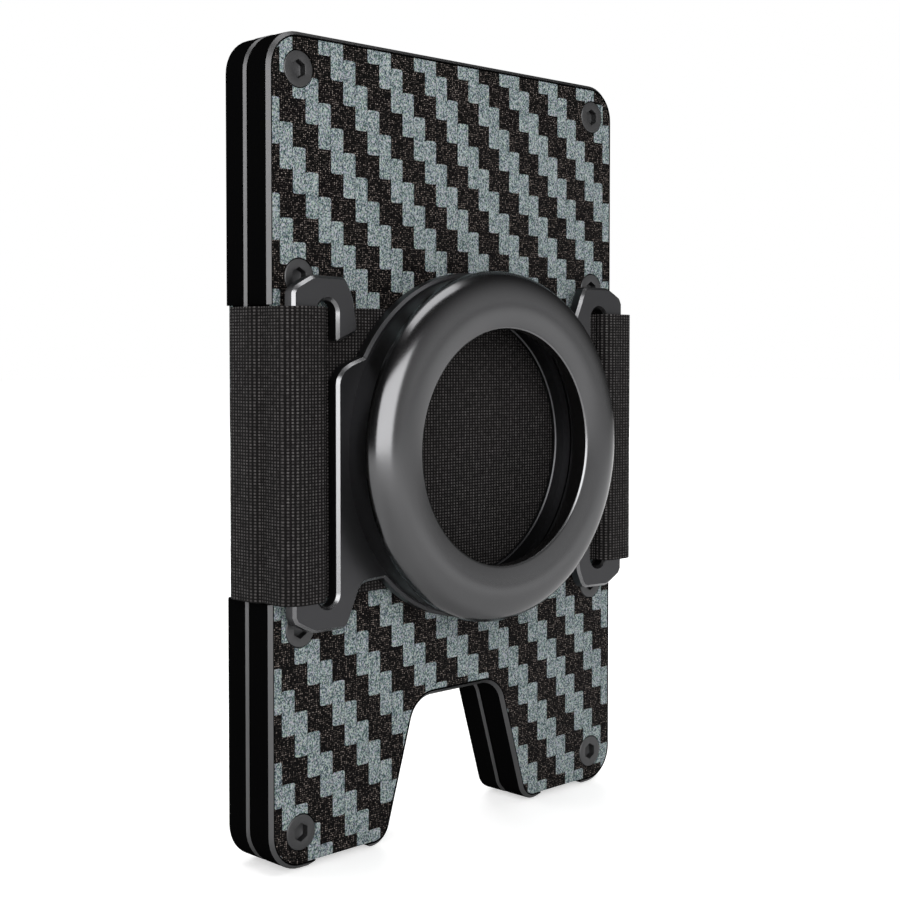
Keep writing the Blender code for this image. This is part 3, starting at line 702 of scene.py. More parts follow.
@dataclass(frozen=True)
class CarbonFinish:
    """Twill of grey-blue warp and black weft, dull and speckled, with painted glints on the weft.
    """

    face: Face
    column: float
    row: float
    shift_across: float = 0.0
    shift_up: float = 0.0
    warp_dark: tuple[float, float, float] = (0.03, 0.043, 0.047)
    warp_pale: tuple[float, float, float] = (0.28, 0.335, 0.34)
    weft_dark: tuple[float, float, float] = (0.0012, 0.001, 0.001)
    weft_painted_glint: tuple[float, float, float] = (0.26, 0.22, 0.20)

    def build(self) -> bpy.types.Material:
        """The material of this face's sheet."""
        made, wire, shader = principled(f"{self.face.value}_carbon_twill")
        place = wire.node("ShaderNodeTexCoord").outputs["Object"]
        parts = wire.node("ShaderNodeSeparateXYZ")
        wire.feed(parts.inputs[0], place)
        across = wire.math("MULTIPLY_ADD", parts.outputs[0], -self.face.out, self.shift_across)
        up = wire.math("ADD", parts.outputs[2], self.shift_up)
        weave = SHELF.place(
            wire, SHELF.twill(), Across=across, Up=up, Column=self.column, Row=self.row
        )
        fine = SHELF.place(wire, SHELF.speckle(), Vector=place, Scale=7500.0, Stretch=1.3)
        # This speckle drives only the painted glints on the weft.
        thread = SHELF.place(wire, SHELF.speckle(), Vector=place, Scale=5200.0, Stretch=0.8)
        mesh = SHELF.place(wire, SHELF.threads(), Across=across, Up=up)
        warp = wire.mix(fine.outputs["Value"], (*self.warp_dark, 1), (*self.warp_pale, 1))
        tinted = wire.node("ShaderNodeMix", data_type="RGBA", blend_type="OVERLAY")
        tinted.inputs["Factor"].default_value = 0.35
        wire.feed(tinted.inputs["A"], warp)
        wire.feed(tinted.inputs["B"], fine.outputs["Colour"])
        shaded = wire.mix(
            wire.math("MULTIPLY", weave.outputs["Seam"], 0.35),
            tinted.outputs["Result"],
            (0.03, 0.04, 0.045, 1),
        )
        # Pale dots on the black weft, a sharpened speckle on the thread mesh: painted glints of
        # the fibres.
        painted_glint = wire.math("POWER", thread.outputs["Value"], 5.5)
        weft = wire.mix(
            wire.math("MULTIPLY", painted_glint, mesh.outputs["Value"]),
            (*self.weft_dark, 1),
            (*self.weft_painted_glint, 1),
        )
        wire.feed(
            shader.inputs["Base Color"], wire.mix(weave.outputs["Warp"], weft, shaded)
        )
        wire.feed(
            shader.inputs["Roughness"],
            wire.math("ADD", 0.5, wire.math("MULTIPLY", fine.outputs["Value"], 0.2)),
        )
        shader.inputs["Specular IOR Level"].default_value = 0.05
        grain = wire.math("ADD", weave.outputs["Height"], wire.math(
            "MULTIPLY", fine.outputs["Value"], 0.25))
        wire.feed(shader.inputs["Normal"], wire.bump(grain, 0.06 * MM))
        return made


@dataclass(frozen=True)
class WebbingFinish:
    """Ribbed elastic: columns of small pale picks on a black-brown ground."""

    rib: float = 0.44 * MM
    pick: float = 0.33 * MM
    ground: tuple[float, float, float] = (0.0025, 0.002, 0.002)
    thread: tuple[float, float, float] = (0.075, 0.07, 0.069)

    def build(self) -> bpy.types.Material:
        """The material, read along the band by its own UV map, in metres."""
        made, wire, shader = principled("elastic_webbing")
        uv = wire.node("ShaderNodeUVMap", uv_map="band")
        parts = wire.node("ShaderNodeSeparateXYZ")
        wire.feed(parts.inputs[0], uv.outputs["UV"])
        ribs = SHELF.place(
            wire,
            SHELF.ribs(),
            Vector=wire.node("ShaderNodeTexCoord").outputs["Object"],
            Along=parts.outputs[0],
            Up=parts.outputs[1],
            Rib=self.rib,
            Pick=self.pick,
        )
        mask = ribs.outputs["Mask"]
        wire.feed(
            shader.inputs["Base Color"],
            wire.mix(mask, (*self.ground, 1), (*self.thread, 1)),
        )
        wire.feed(shader.inputs["Roughness"], wire.math("MULTIPLY_ADD", mask, -0.45, 0.85))
        shader.inputs["Specular IOR Level"].default_value = 0.15
        wire.feed(shader.inputs["Normal"], wire.bump(ribs.outputs["Height"], 0.12 * MM))
        return made


# ---------------------------------------------------------------------------
# Sub-assemblies
# ---------------------------------------------------------------------------


@dataclass
class Notch:
    """The thumb notch between the legs, from the plate's middle."""

    top_half: float = 6.43 * MM
    foot_half: float = 11.01 * MM
    depth: float = 15.15 * MM
    top_radius: float = 3.0 * MM
    foot_radius: float = 2.4 * MM


@dataclass
class PlateBlank:
    """A flat plate outline with the thumb notch and round corners."""

    width: float
    height: float
    corner: float = 4.0 * MM
    notch: Notch = field(default_factory=Notch)
    inset: float = 0.0

    def cut(self, name: str, depth: float, middle: float) -> Workpiece:
        """The outline as one flat face.

        Args:
            name: Name of the piece.
            depth: Its Y.
            middle: Height of the whole plate's middle.

        Returns:
            The flat piece.
        """
        inset = self.inset
        ground = middle - self.height / 2
        bottom = ground + inset
        top = middle + self.height / 2 - inset
        half = self.width / 2 - inset
        piece = Workpiece.plane(
            name, Vector((0.0, depth, (bottom + top) / 2)), 2 * half, top - bottom
        )
        notch = self.notch
        roof = ground + notch.depth + inset
        slope = Vector((notch.foot_half - notch.top_half, -notch.depth))
        normal = Vector((-slope.y, 0.0, slope.x)).normalized()
        for side in (-1.0, 1.0):
            on = Vector((side * notch.top_half, depth, ground + notch.depth))
            way = Vector((side * normal.x, 0.0, normal.z))
            piece.cut_line(on + way * inset, way)
        piece.cut_line(Vector((0.0, depth, roof)), Vector((0.0, 0.0, 1.0)))
        limit = 0.5 * (notch.top_half + notch.foot_half)
        piece.pick_faces(lambda spot, _: spot.z < roof and abs(spot.x) < limit)
        piece.delete_picked().dissolve_flat()
        self._round(piece, bottom, roof, top)
        return piece

    def _round(self, piece: Workpiece, bottom: float, roof: float, top: float) -> None:
        """Rounds the corners of the outline."""
        notch = self.notch
        lean = math.atan2(notch.depth, notch.foot_half - notch.top_half)
        slope_reach = math.tan(lean / 2)
        near = 0.3 * MM
        square = self.corner - self.inset
        leg = (notch.foot_radius - self.inset) * slope_reach
        arch = (notch.top_radius + self.inset) * slope_reach
        wide = self.width / 2 - self.inset - near
        piece.pick_vertices(lambda spot: abs(spot.x) > wide)
        piece.bevel(square, 10, Element.VERTEX)
        piece.pick_vertices(lambda spot: abs(spot.x) < wide * 0.6 and spot.z < bottom + near)
        piece.bevel(leg, 8, Element.VERTEX)
        piece.pick_vertices(
            lambda spot: abs(spot.x) < notch.foot_half and abs(spot.z - roof) < near
        )
        piece.bevel(arch, 8, Element.VERTEX)


@dataclass
class Panel:
    """One panel: card-side plate, outer plate, carbon sheet and its screws."""

    face: Face
    rim: float = 0.5 * MM
    outer_chamfer: float = 0.38 * MM
    inner_chamfer: float = 0.26 * MM
    joint_gap: float = 0.01 * MM
    pocket_depth: float = 0.72 * MM
    sheet_inset: float = 0.56 * MM
    recess: float = 0.6 * MM
    foot_from: float = 13.7 * MM
    foot_to: float = 21.4 * MM
    foot_lift: float = 0.6 * MM
    window_gap: float = 0.45 * MM
    window_slope: float = 0.95 * MM
    head_hole: float = 2.1 * MM
    head_hole_depth: float = 1.15 * MM
    shank_hole: float = 1.1 * MM
    sheet_hole: float = 1.97 * MM
    sheet_depth: float = 0.66 * MM
    sheet_edge: float = 0.06 * MM
    bed_gap: float = 0.15 * MM
    side_gap: float = 0.2 * MM
    tab_pocket_half: float = 21.2 * MM
    socket_flats: float = 1.7 * MM
    socket_depth: float = 0.8 * MM
    pieces: list[Workpiece] = field(default_factory=list)

    def node(self, part: str) -> str:
        """The CAD node of one of this panel's pieces."""
        return f"{self.face.value}_{part}"

    def depths(self, part: str) -> Flat:
        """Y of a piece's card side and of its outer side."""
        least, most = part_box(self.node(part))
        return (least.y, most.y) if self.face is Face.BACK else (most.y, least.y)

    def screw_spots(self) -> list[Vector]:
        """Middle of each screw's head, on the outer face."""
        spots = []
        for number in range(1, 9):
            least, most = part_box(self.node(f"screw_{number}"))
            y = most.y if self.face is Face.BACK else least.y
            spots.append(Vector(((least.x + most.x) / 2, y, (least.z + most.z) / 2)))
        return spots

    def blank(self, **changes: float) -> PlateBlank:
        """The outline that this panel's plates share."""
        least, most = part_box(self.node("outer_plate"))
        return PlateBlank(2 * HALF_WIDTH, most.z - least.z, **changes)

    def holes(self, radius: float, start: float, end: float) -> Workpiece:
        """One tool with a round hole at every screw.

        Args:
            radius: Radius of the holes.
            start: Y where they start.
            end: Y where they end.

        Returns:
            The tool.
        """
        rods = []
        for spot in self.screw_spots():
            rods.append(
                Workpiece.rod(
                    "drill", Vector((spot.x, start, spot.z)), Vector((spot.x, end, spot.z)), radius
                )
            )
        return joined(rods)

    def _slab(self, piece: Workpiece, near: float, far: float) -> Workpiece:
        """Thickens a flat outline from its card side to its outer side."""
        piece.pick_faces(lambda *_: True).extrude((0.0, far - near, 0.0))
        return piece.tidy()

    def _break_edges(self, piece: Workpiece, y: float, width: float, slot: int) -> Workpiece:
        """Bevels the outline's edges at one depth; on the plates the bevel takes slot 1, the
        painted edge highlight.
        """
        piece.pick_edges(lambda a, b: abs(a.y - y) < TOUCH and abs(b.y - y) < TOUCH)
        return piece.bevel(width, 1, Element.EDGE, slot)

    def _windows(self, piece: Workpiece, near: float, far: float) -> None:
        """Cuts the sloped window around each foot in the bottom edge."""
        out = self.face.out * MM
        reach = 3.0 * MM
        slope = self.window_slope * reach / self.foot_lift
        for side in (-1.0, 1.0):
            outline = [
                (side * (self.foot_from - self.window_gap - slope), -reach),
                (side * (self.foot_to + self.window_gap + slope), -reach),
                (side * (self.foot_to + self.window_gap - self.window_slope), self.foot_lift),
                (side * (self.foot_from - self.window_gap + self.window_slope), self.foot_lift),
            ]
            tool = prism_along_y("window", outline, near - out, far + out)
            piece.boolean(tool)

    def _side_recess(self, piece: Workpiece, near: float, far: float) -> None:
        """Cuts the shallow recess that the band passes in each side."""
        out = self.face.out * MM
        reach = high("band_front_run").z - low("band_front_run").z
        bottom = low("band_front_run").z - self.side_gap
        top = bottom + reach + 2 * self.side_gap
        ys = sorted((near - out, far + out))
        for side in (-1.0, 1.0):
            xs = sorted((side * (HALF_WIDTH - self.recess), side * (HALF_WIDTH + 3 * MM)))
            piece.boolean(
                Workpiece.block("recess", (xs[0], ys[0], bottom), (xs[1], ys[1], top))
            )

    def build_outer_plate(self, black: bpy.types.Material, edge: bpy.types.Material) -> Workpiece:
        """The rimmed outer plate, with its pocket, windows and counterbores."""
        near, far = self.depths("outer_plate")
        out = self.face.out
        name = self.node("outer_plate_machined")
        piece = self.blank().cut(name, near, centre_height()).slots(black, edge)
        self._slab(piece, near, far)
        # The outer chamfer takes slot 1, a lighter reflective copy of the black plate: a painted
        # highlight along the edge.
        self._break_edges(piece, far, self.outer_chamfer, 1)
        piece.pick_faces(lambda spot, way: way.y * out > 0.9 and abs(spot.y - far) < TOUCH)
        piece.inset(self.rim - self.outer_chamfer)
        piece.extrude((0.0, -out * self.pocket_depth, 0.0)).paint_picked(0)
        piece.boolean(self.holes(self.head_hole, far + out * MM, far - out * self.head_hole_depth))
        self._windows(piece, near, far)
        self._side_recess(piece, near, far)
        if self.face is Face.FRONT:
            half = high("money_clip_tab").x + self.bed_gap
            top = high(self.node("outer_plate")).z
            ys = sorted((near - out * MM, far + out * MM))
            piece.boolean(
                Workpiece.block(
                    "mouth", (-half, ys[0], top - self.foot_lift), (half, ys[1], top + MM)
                )
            )
        piece.smooth()
        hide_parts(self.node("outer_plate"))
        return piece

    def build_inner_plate(self, black: bpy.types.Material, edge: bpy.types.Material) -> Workpiece:
        """The card-side plate, with its feet and the band's or clip's recesses."""
        near = self.depths("inner_plate")[0]
        far = self.depths("outer_plate")[0] - self.face.out * self.joint_gap
        name = self.node("inner_plate_machined")
        piece = self.blank().cut(name, near, centre_height()).slots(black, edge)
        self._slab(piece, near, far)
        # The inner chamfer takes slot 1, the same painted edge highlight.
        self._break_edges(piece, near, self.inner_chamfer, 1)
        self._windows(piece, near, far)
        ys = sorted((near + self.face.out * 0.1 * MM, far - self.face.out * 0.1 * MM))
        for side in (-1.0, 1.0):
            xs = sorted((side * self.foot_from, side * self.foot_to))
            foot = Workpiece.block("foot", (xs[0], ys[0], 0.0), (xs[1], ys[1], 2.0 * MM))
            foot.pick_edges(lambda a, b: max(a.z, b.z) < TOUCH and abs(a.x - b.x) < TOUCH)
            foot.bevel(0.4 * MM, 5)
            piece.boolean(foot, "UNION")
        if self.face is Face.FRONT:
            self._front_recesses(piece, near, far)
        else:
            self._side_recess(piece, near, far)
        piece.boolean(
            self.holes(self.shank_hole, near - self.face.out * MM, far + self.face.out * MM)
        )
        piece.smooth()
        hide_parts(self.node("inner_plate"))
        return piece

    def _front_recesses(self, piece: Workpiece, near: float, far: float) -> None:
        """The band's channel and the clip tab's pocket in the front plate."""
        band_low, band_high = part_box("band_front_run")
        tab_low, tab_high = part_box("money_clip_tab")
        reach = HALF_WIDTH + 3 * MM
        floor = band_high.y + self.bed_gap
        piece.boolean(
            Workpiece.block(
                "channel",
                (-reach, far - MM, band_low.z - self.side_gap),
                (reach, floor, band_high.z + self.side_gap),
            )
        )
        floor = tab_high.y + self.bed_gap
        top = tab_high.z + 3 * MM
        mouth = high(self.node("inner_plate")).z - self.foot_lift
        for half, bottom in (
            (self.tab_pocket_half, tab_low.z - self.side_gap),
            (tab_high.x + self.side_gap, mouth),
        ):
            piece.boolean(
                Workpiece.block("pocket", (-half, far - MM, bottom), (half, floor, top))
            )

    def build_sheet(self, carbon: bpy.types.Material) -> Workpiece:
        """The carbon sheet, lying flush in its pocket."""
        far = self.depths("carbon_sheet")[1]
        out = self.face.out
        near = far - out * self.sheet_depth
        name = self.node("carbon_sheet_laid")
        sheet = self.blank(inset=self.sheet_inset).cut(name, near, centre_height())
        sheet.slots(carbon)
        self._slab(sheet, near, far)
        self._break_edges(sheet, far, self.sheet_edge, 0)
        sheet.boolean(self.holes(self.sheet_hole, far + out * MM, far - out * 2 * MM))
        sheet.smooth()
        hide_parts(self.node("carbon_sheet"))
        return sheet

    def build_screws(self, steel: bpy.types.Material) -> list[Workpiece]:
        """Eight socket screws: one is turned and cut, the others are its copies."""
        spots = self.screw_spots()
        first = self._screw(spots[0], steel)
        screws = [first]
        for number, spot in enumerate(spots[1:], start=2):
            screws.append(first.copy(self.node(f"screw_turned_{number}"), spot - spots[0]))
        for number, screw in enumerate(screws, start=1):
            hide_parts(self.node(f"screw_{number}"))
            screw.smooth()
        return screws

    def _screw(self, spot: Vector, steel: bpy.types.Material) -> Workpiece:
        """One screw, turned about its own axis, with a hexagon socket."""
        out = self.face.out
        end = self.depths("screw_1")[0]
        drop = abs(spot.y - end)
        profile = (
            (0.0, 0.0), (1.81, 0.0), (1.88, 0.07), (1.88, 1.0), (1.0, 1.0),
            (1.0, drop / MM), (0.0, drop / MM),
        )
        points = [
            Vector((spot.x + r * MM, spot.y - out * depth * MM, spot.z)) for r, depth in profile
        ]
        screw = Workpiece.trace(self.node("screw_turned_1"), points)
        screw.spin(spot, Vector((0.0, 1.0, 0.0)), 48).slots(steel)
        key = Workpiece.rod(
            "key",
            spot - Vector((0.0, out * self.socket_depth, 0.0)),
            spot + Vector((0.0, out * self.socket_depth, 0.0)),
            self.socket_flats / math.sqrt(3),
            6,
        )
        screw.boolean(key)
        screw.apply("BEVEL", width=0.04 * MM, segments=2, limit_method="ANGLE")
        return screw

    def build(self, finishes: "Finishes") -> None:
        """Builds every piece of the panel and sends it riding on its body."""
        self.pieces.append(self.build_outer_plate(finishes.black, finishes.edge))
        self.pieces.append(self.build_inner_plate(finishes.black, finishes.edge))
        self.pieces.append(self.build_sheet(finishes.carbon[self.face]))
        self.pieces.extend(self.build_screws(finishes.screw))
        for piece in self.pieces:
            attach(piece.obj, self.face.body)
            report(piece)

    @staticmethod
    def _slot_of(name: str) -> str:
        """The record's material slot of a piece."""
        if "screw" in name:
            return "screw_steel"
        return "carbon_weave" if "carbon" in name else "black_plate"


def prism_along_y(name: str, outline: Sequence[Flat], start: float, end: float) -> Workpiece:
    """A tool of any outline, extruded along Y.

    Args:
        name: Name of the tool.
        outline: Its (x, z) corners.
        start: Y of one end.
        end: Y of the other end.

    Returns:
        The closed tool.
    """
    points = [Vector((x, start, z)) for x, z in outline]
    tool = Workpiece.trace(name, points, close=True)
    with tool.edit(Element.VERTEX):
        bpy.ops.mesh.select_all(action="SELECT")
        bpy.ops.mesh.edge_face_add()
    tool.pick_faces(lambda *_: True).extrude((0.0, end - start, 0.0))
    return tool.tidy()


def curve_through(points: Sequence[Sequence[float]], steps: int) -> list[Vector]:
    """A smooth curve through points.

    Args:
        points: The points that it passes.
        steps: How many steps lie between each two.

    Returns:
        The points of the curve.
    """
    ends = [Vector(point) for point in points]
    ends = [2 * ends[0] - ends[1], *ends, 2 * ends[-1] - ends[-2]]
    curve = []
    for a, b, c, d in zip(ends, ends[1:], ends[2:], ends[3:]):
        for step in range(steps):
            t = step / steps
            curve.append(
                0.5 * (2 * b + (c - a) * t + (2 * a - 5 * b + 4 * c - d) * t * t
                       + (3 * b - a - 3 * c + d) * t ** 3)
            )
    curve.append(ends[-2])
    return curve


def arc_points(centre: Flat, radius: float, start: float, end: float, steps: int) -> list[Flat]:
    """Points of an arc, its angles in degrees."""
    turns = [math.radians(start + (end - start) * k / steps) for k in range(steps + 1)]
    return [
        (centre[0] + radius * math.cos(turn), centre[1] + radius * math.sin(turn))
        for turn in turns
    ]


@dataclass
class MoneyClip:
    """The spring clip: one bent sheet from its hidden tab to its flared lip."""

    thickness: float = 0.5 * MM
    tab_half: float = 21.0 * MM
    tab_bend: float = 1.0 * MM
    front_bend: float = 1.5 * MM
    lip_radius: float = 3.0 * MM
    lip_rows: int = 12
    crease_height: float = -4.1 * MM
    waist: tuple[Flat, ...] = (
        (43.4, 21.7), (42.6, 21.62), (41.6, 20.9), (39.2, 18.8), (36.5, 16.7), (32.8, 14.8),
        (29.0, 13.5), (25.2, 12.45), (21.0, 11.55), (14.6, 10.55), (8.3, 10.0), (0.4, 9.65),
        (-4.1, 9.5), (-9.5, 9.65), (-13.1, 9.7),
    )

    def half_at(self, height: float) -> float:
        """Half the leaf's width at a height above the plates' middle."""
        heights = [z * MM for z, _ in self.waist][::-1]
        curve = curve_through([(z, half) for z, half in self.waist], 8)
        zs = np.array([point.x for point in curve])[::-1] * MM
        halves = np.array([point.y for point in curve])[::-1] * MM
        return float(np.interp(max(heights[0], height), zs, halves))

    def path(self) -> list[Vector]:
        """The sheet's mid-line from the tab's hidden end to the lip, at X 0."""
        tab_low, tab_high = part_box("money_clip_tab")
        leaf_low, leaf_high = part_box("money_clip_leaf")
        middle = centre_height()
        half = self.thickness / 2
        tab_y = tab_high.y - half
        top = leaf_high.z - half
        root = self._leaf_depth()
        points = [(tab_y, tab_low.z), (tab_y, tab_low.z + 6 * MM), (tab_y, tab_low.z + 12 * MM)]
        points += arc_points((tab_y - self.tab_bend, top - self.tab_bend), self.tab_bend, 0, 90, 7)
        bend = (root + self.front_bend, top - self.front_bend)
        points += arc_points(bend, self.front_bend, 90, 175, 11)
        crease = (low("front_carbon_sheet").y - 0.12 * MM - half, middle + self.crease_height)
        reach, fall = bend[1] - crease[1], root - crease[0]
        shape = ((0.07, 0.02), (0.2, 0.14), (0.33, 0.26), (0.46, 0.345), (0.60, 0.49),
                 (0.80, 0.76), (0.985, 0.995))
        leaf = [points[-2], points[-1]]
        leaf += [(root - fall * sink, bend[1] - reach * down) for down, sink in shape]
        points = points[:-1] + [tuple(p) for p in curve_through(leaf[1:], 4)]
        tip_y = leaf_low.y + half
        drop, out = crease[1] - leaf_low.z, tip_y - crease[0]
        for down, rise in ((0.035, 0.004), (0.075, 0.03), (0.13, 0.085), (0.3, 0.265),
                           (0.5, 0.48)):
            points.append((crease[0] + out * rise, crease[1] - drop * down))
        spots = [Vector((0.0, y, z)) for y, z in points]
        tip = Vector((0.0, tip_y, leaf_low.z))
        way = (tip - spots[-1]).normalized()
        return spots + [
            tip - way * self.lip_radius * (1 - math.sin(angle)) for angle in self.lip_angles()
        ]

    def lip_angles(self) -> list[float]:
        """The turns at which the lip's round corners get a row, from their start to the tip."""
        return [math.pi / 2 * row / (self.lip_rows - 1) for row in range(self.lip_rows)]

    def _leaf_depth(self) -> float:
        """Y of the leaf's mid-line just under its front bend."""
        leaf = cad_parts["money_clip_leaf"]
        high_band = high("money_clip_leaf").z - 3.0 * MM
        near = min(v.co.y for v in leaf.data.vertices if v.co.z > high_band)
        return near + self.thickness / 2

    def build(self, finish: bpy.types.Material) -> None:
        """Bends the sheet row by row, with a round-cornered lip, and gives it its thickness."""
        path = self.path()
        middle = centre_height()
        mouth = high("front_inner_plate").z - 0.5 * MM
        halves = []
        for spot in path:
            in_slot = spot.y > low("front_inner_plate").y and spot.z < mouth
            halves.append(self.tab_half if in_slot else self.half_at(spot.z - middle))
        for row, angle in enumerate(self.lip_angles(), start=len(path) - self.lip_rows):
            halves[row] -= self.lip_radius * (1 - math.cos(angle))
        clip = self._strip(path, halves)
        clip.tidy()
        clip.apply("SOLIDIFY", thickness=self.thickness, offset=0.0, use_even_offset=True)
        clip.apply("BEVEL", width=0.13 * MM, segments=3, limit_method="ANGLE",
                   angle_limit=math.radians(50))
        clip.tidy().slots(finish).smooth(35.0)
        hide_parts("money_clip_tab", "money_clip_leaf")
        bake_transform(clip.obj)
        report(clip)

    def _strip(self, path: Sequence[Vector], halves: Sequence[float]) -> Workpiece:
        """A row of quads along the path, each row as wide as the clip is there."""
        across = 12
        first = path[0]
        points = [
            first + Vector((-halves[0] + 2 * halves[0] * k / across, 0.0, 0.0))
            for k in range(across + 1)
        ]
        strip = Workpiece.trace("money_clip_sheet", points)
        with strip.edit(Element.EDGE):
            bpy.ops.mesh.select_all(action="SELECT")
            for number in range(1, len(path)):
                step = path[number] - path[number - 1]
                bpy.ops.mesh.extrude_region_move(TRANSFORM_OT_translate={"value": step})
                ratio = halves[number] / halves[number - 1]
                if abs(ratio - 1) > TOUCH:
                    bpy.ops.transform.resize(
                        value=(ratio, 1.0, 1.0), center_override=path[number]
                    )
        return strip


@dataclass
class TagHolder:
    """The eared holder on the back, with its flange, seat and cup wall."""

    flange_radius: float = 19.2 * MM
    chamfer: float = 0.3 * MM
    seat_hole: float = 14.7 * MM
    seat_radius: float = 16.15 * MM
    seat_thickness: float = 0.5 * MM
    wall_inner: float = 17.4 * MM
    wall_outer: float = 18.7 * MM
    arm_outer: float = 25.95 * MM
    slot_outer: float = 22.75 * MM
    slot_inner: float = 20.15 * MM
    slot_half: float = 15.7 * MM
    ear_half: float = 18.2 * MM
    thickness: float = 1.5 * MM

    @property
    def axis(self) -> Vector:
        """Middle of the holder on its lower face."""
        return Vector((0.0, low("holder_frame").y, centre_height()))

    def ear_outline(self) -> list[Flat]:
        """The ears and arm of the +X side, as (x, z) from the ring's middle."""
        mid = (self.slot_outer + self.slot_inner) / 2
        radius = (self.slot_outer - self.slot_inner) / 2
        turn = self.slot_half - radius
        ear, arm, slot = self.ear_half / MM, self.arm_outer / MM, self.slot_inner / MM
        closed = [
            (12.0, -13.45), (14.2, -13.55), (15.15, -13.6), (15.9, -13.65), (16.5, -13.78),
            (16.95, -14.1), (17.25, -14.6), (18.1, -ear + 1.7), (18.35, -ear + 1.1),
            (18.8, -ear + 0.25), (19.25, -ear), (23.0, -ear), (23.5, -ear + 0.12),
            (arm - 1.1, -ear + 0.8), (arm - 0.35, -ear + 1.2), (arm, -ear + 1.85),
        ]
        hook = [
            (arm, ear - 1.85), (arm - 0.35, ear - 1.2), (arm - 1.1, ear - 0.8),
            (23.5, ear - 0.12), (23.0, ear), (19.4, ear - 0.1), (18.9, ear - 0.3),
            (18.5, ear - 0.8), (17.85, ear - 2.2), (17.4, 13.6), (17.3, 12.9), (17.5, 12.45),
            (19.7, 11.55), (20.0, 11.55), (slot, 11.75),
        ]
        top = arc_points((mid / MM, turn / MM), radius / MM, 180, 0, 20)
        bottom = arc_points((mid / MM, -turn / MM), radius / MM, 0, -180, 20)
        shoulder = [(slot, 7.0), (slot - 0.08, 7.6), (slot - 0.4, 8.15), (19.2, 8.75),
                    (18.3, 9.25), (16.3, 9.95), (12.0, 10.3)]
        return [(x * MM, z * MM) for x, z in closed + hook + top + bottom + shoulder]

    def build(self, metal: bpy.types.Material, edge: bpy.types.Material) -> None:
        """Turns the cup, cuts the ears and joins them; the ears' chamfers take the painted edge
        highlight.
        """
        holder = self._turned_cup().slots(metal, edge)
        centre = self.axis
        for sign in (1.0, -1.0):
            outline = [(centre.x + sign * x, centre.z + sign * z) for x, z in self.ear_outline()]
            ears = prism_along_y("ears", outline, centre.y, centre.y + self.thickness)
            ears.slots(metal, edge)
            # Both chamfers take slot 1, a lighter copy of the gunmetal: a painted highlight.
            for y in (centre.y, centre.y + self.thickness):
                ears.pick_edges(lambda a, b, y=y: abs(a.y - y) < TOUCH and abs(b.y - y) < TOUCH)
                ears.bevel(self.chamfer if y > centre.y else self.chamfer / 2, 1, Element.EDGE, 1)
            bore = Workpiece.rod(
                "bore",
                centre - Vector((0.0, MM, 0.0)),
                centre + Vector((0.0, 8 * MM, 0.0)),
                self.wall_outer - 0.5 * MM,
                128,
            )
            ears.boolean(bore)
            holder.boolean(ears, "UNION")
        holder.smooth()
        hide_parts("holder_frame")
        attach(holder.obj, "back_panel")
        report(holder)

    def _turned_cup(self) -> Workpiece:
        """The flange, seat and cup wall as one turned ring."""
        centre = self.axis
        top = self.thickness
        rim = high("holder_frame").y - centre.y
        cut = 0.12 * MM
        profile = [
            (self.flange_radius - self.chamfer, top), (self.flange_radius, top - self.chamfer),
            (self.flange_radius, self.chamfer / 2), (self.flange_radius - self.chamfer / 2, 0.0),
            (self.seat_hole, 0.0), (self.seat_hole, self.seat_thickness - cut),
            (self.seat_hole + cut, self.seat_thickness), (self.seat_radius, self.seat_thickness),
            (self.seat_radius, top), (self.wall_inner, top), (self.wall_inner, rim - cut),
            (self.wall_inner + cut, rim), (self.wall_outer - cut, rim),
            (self.wall_outer, rim - cut), (self.wall_outer, top),
        ]
        points = [centre + Vector((radius, height, 0.0)) for radius, height in profile]
        cup = Workpiece.trace("holder_cup_turned", points, close=True)
        return cup.spin(centre, Vector((0.0, 1.0, 0.0)), 160)


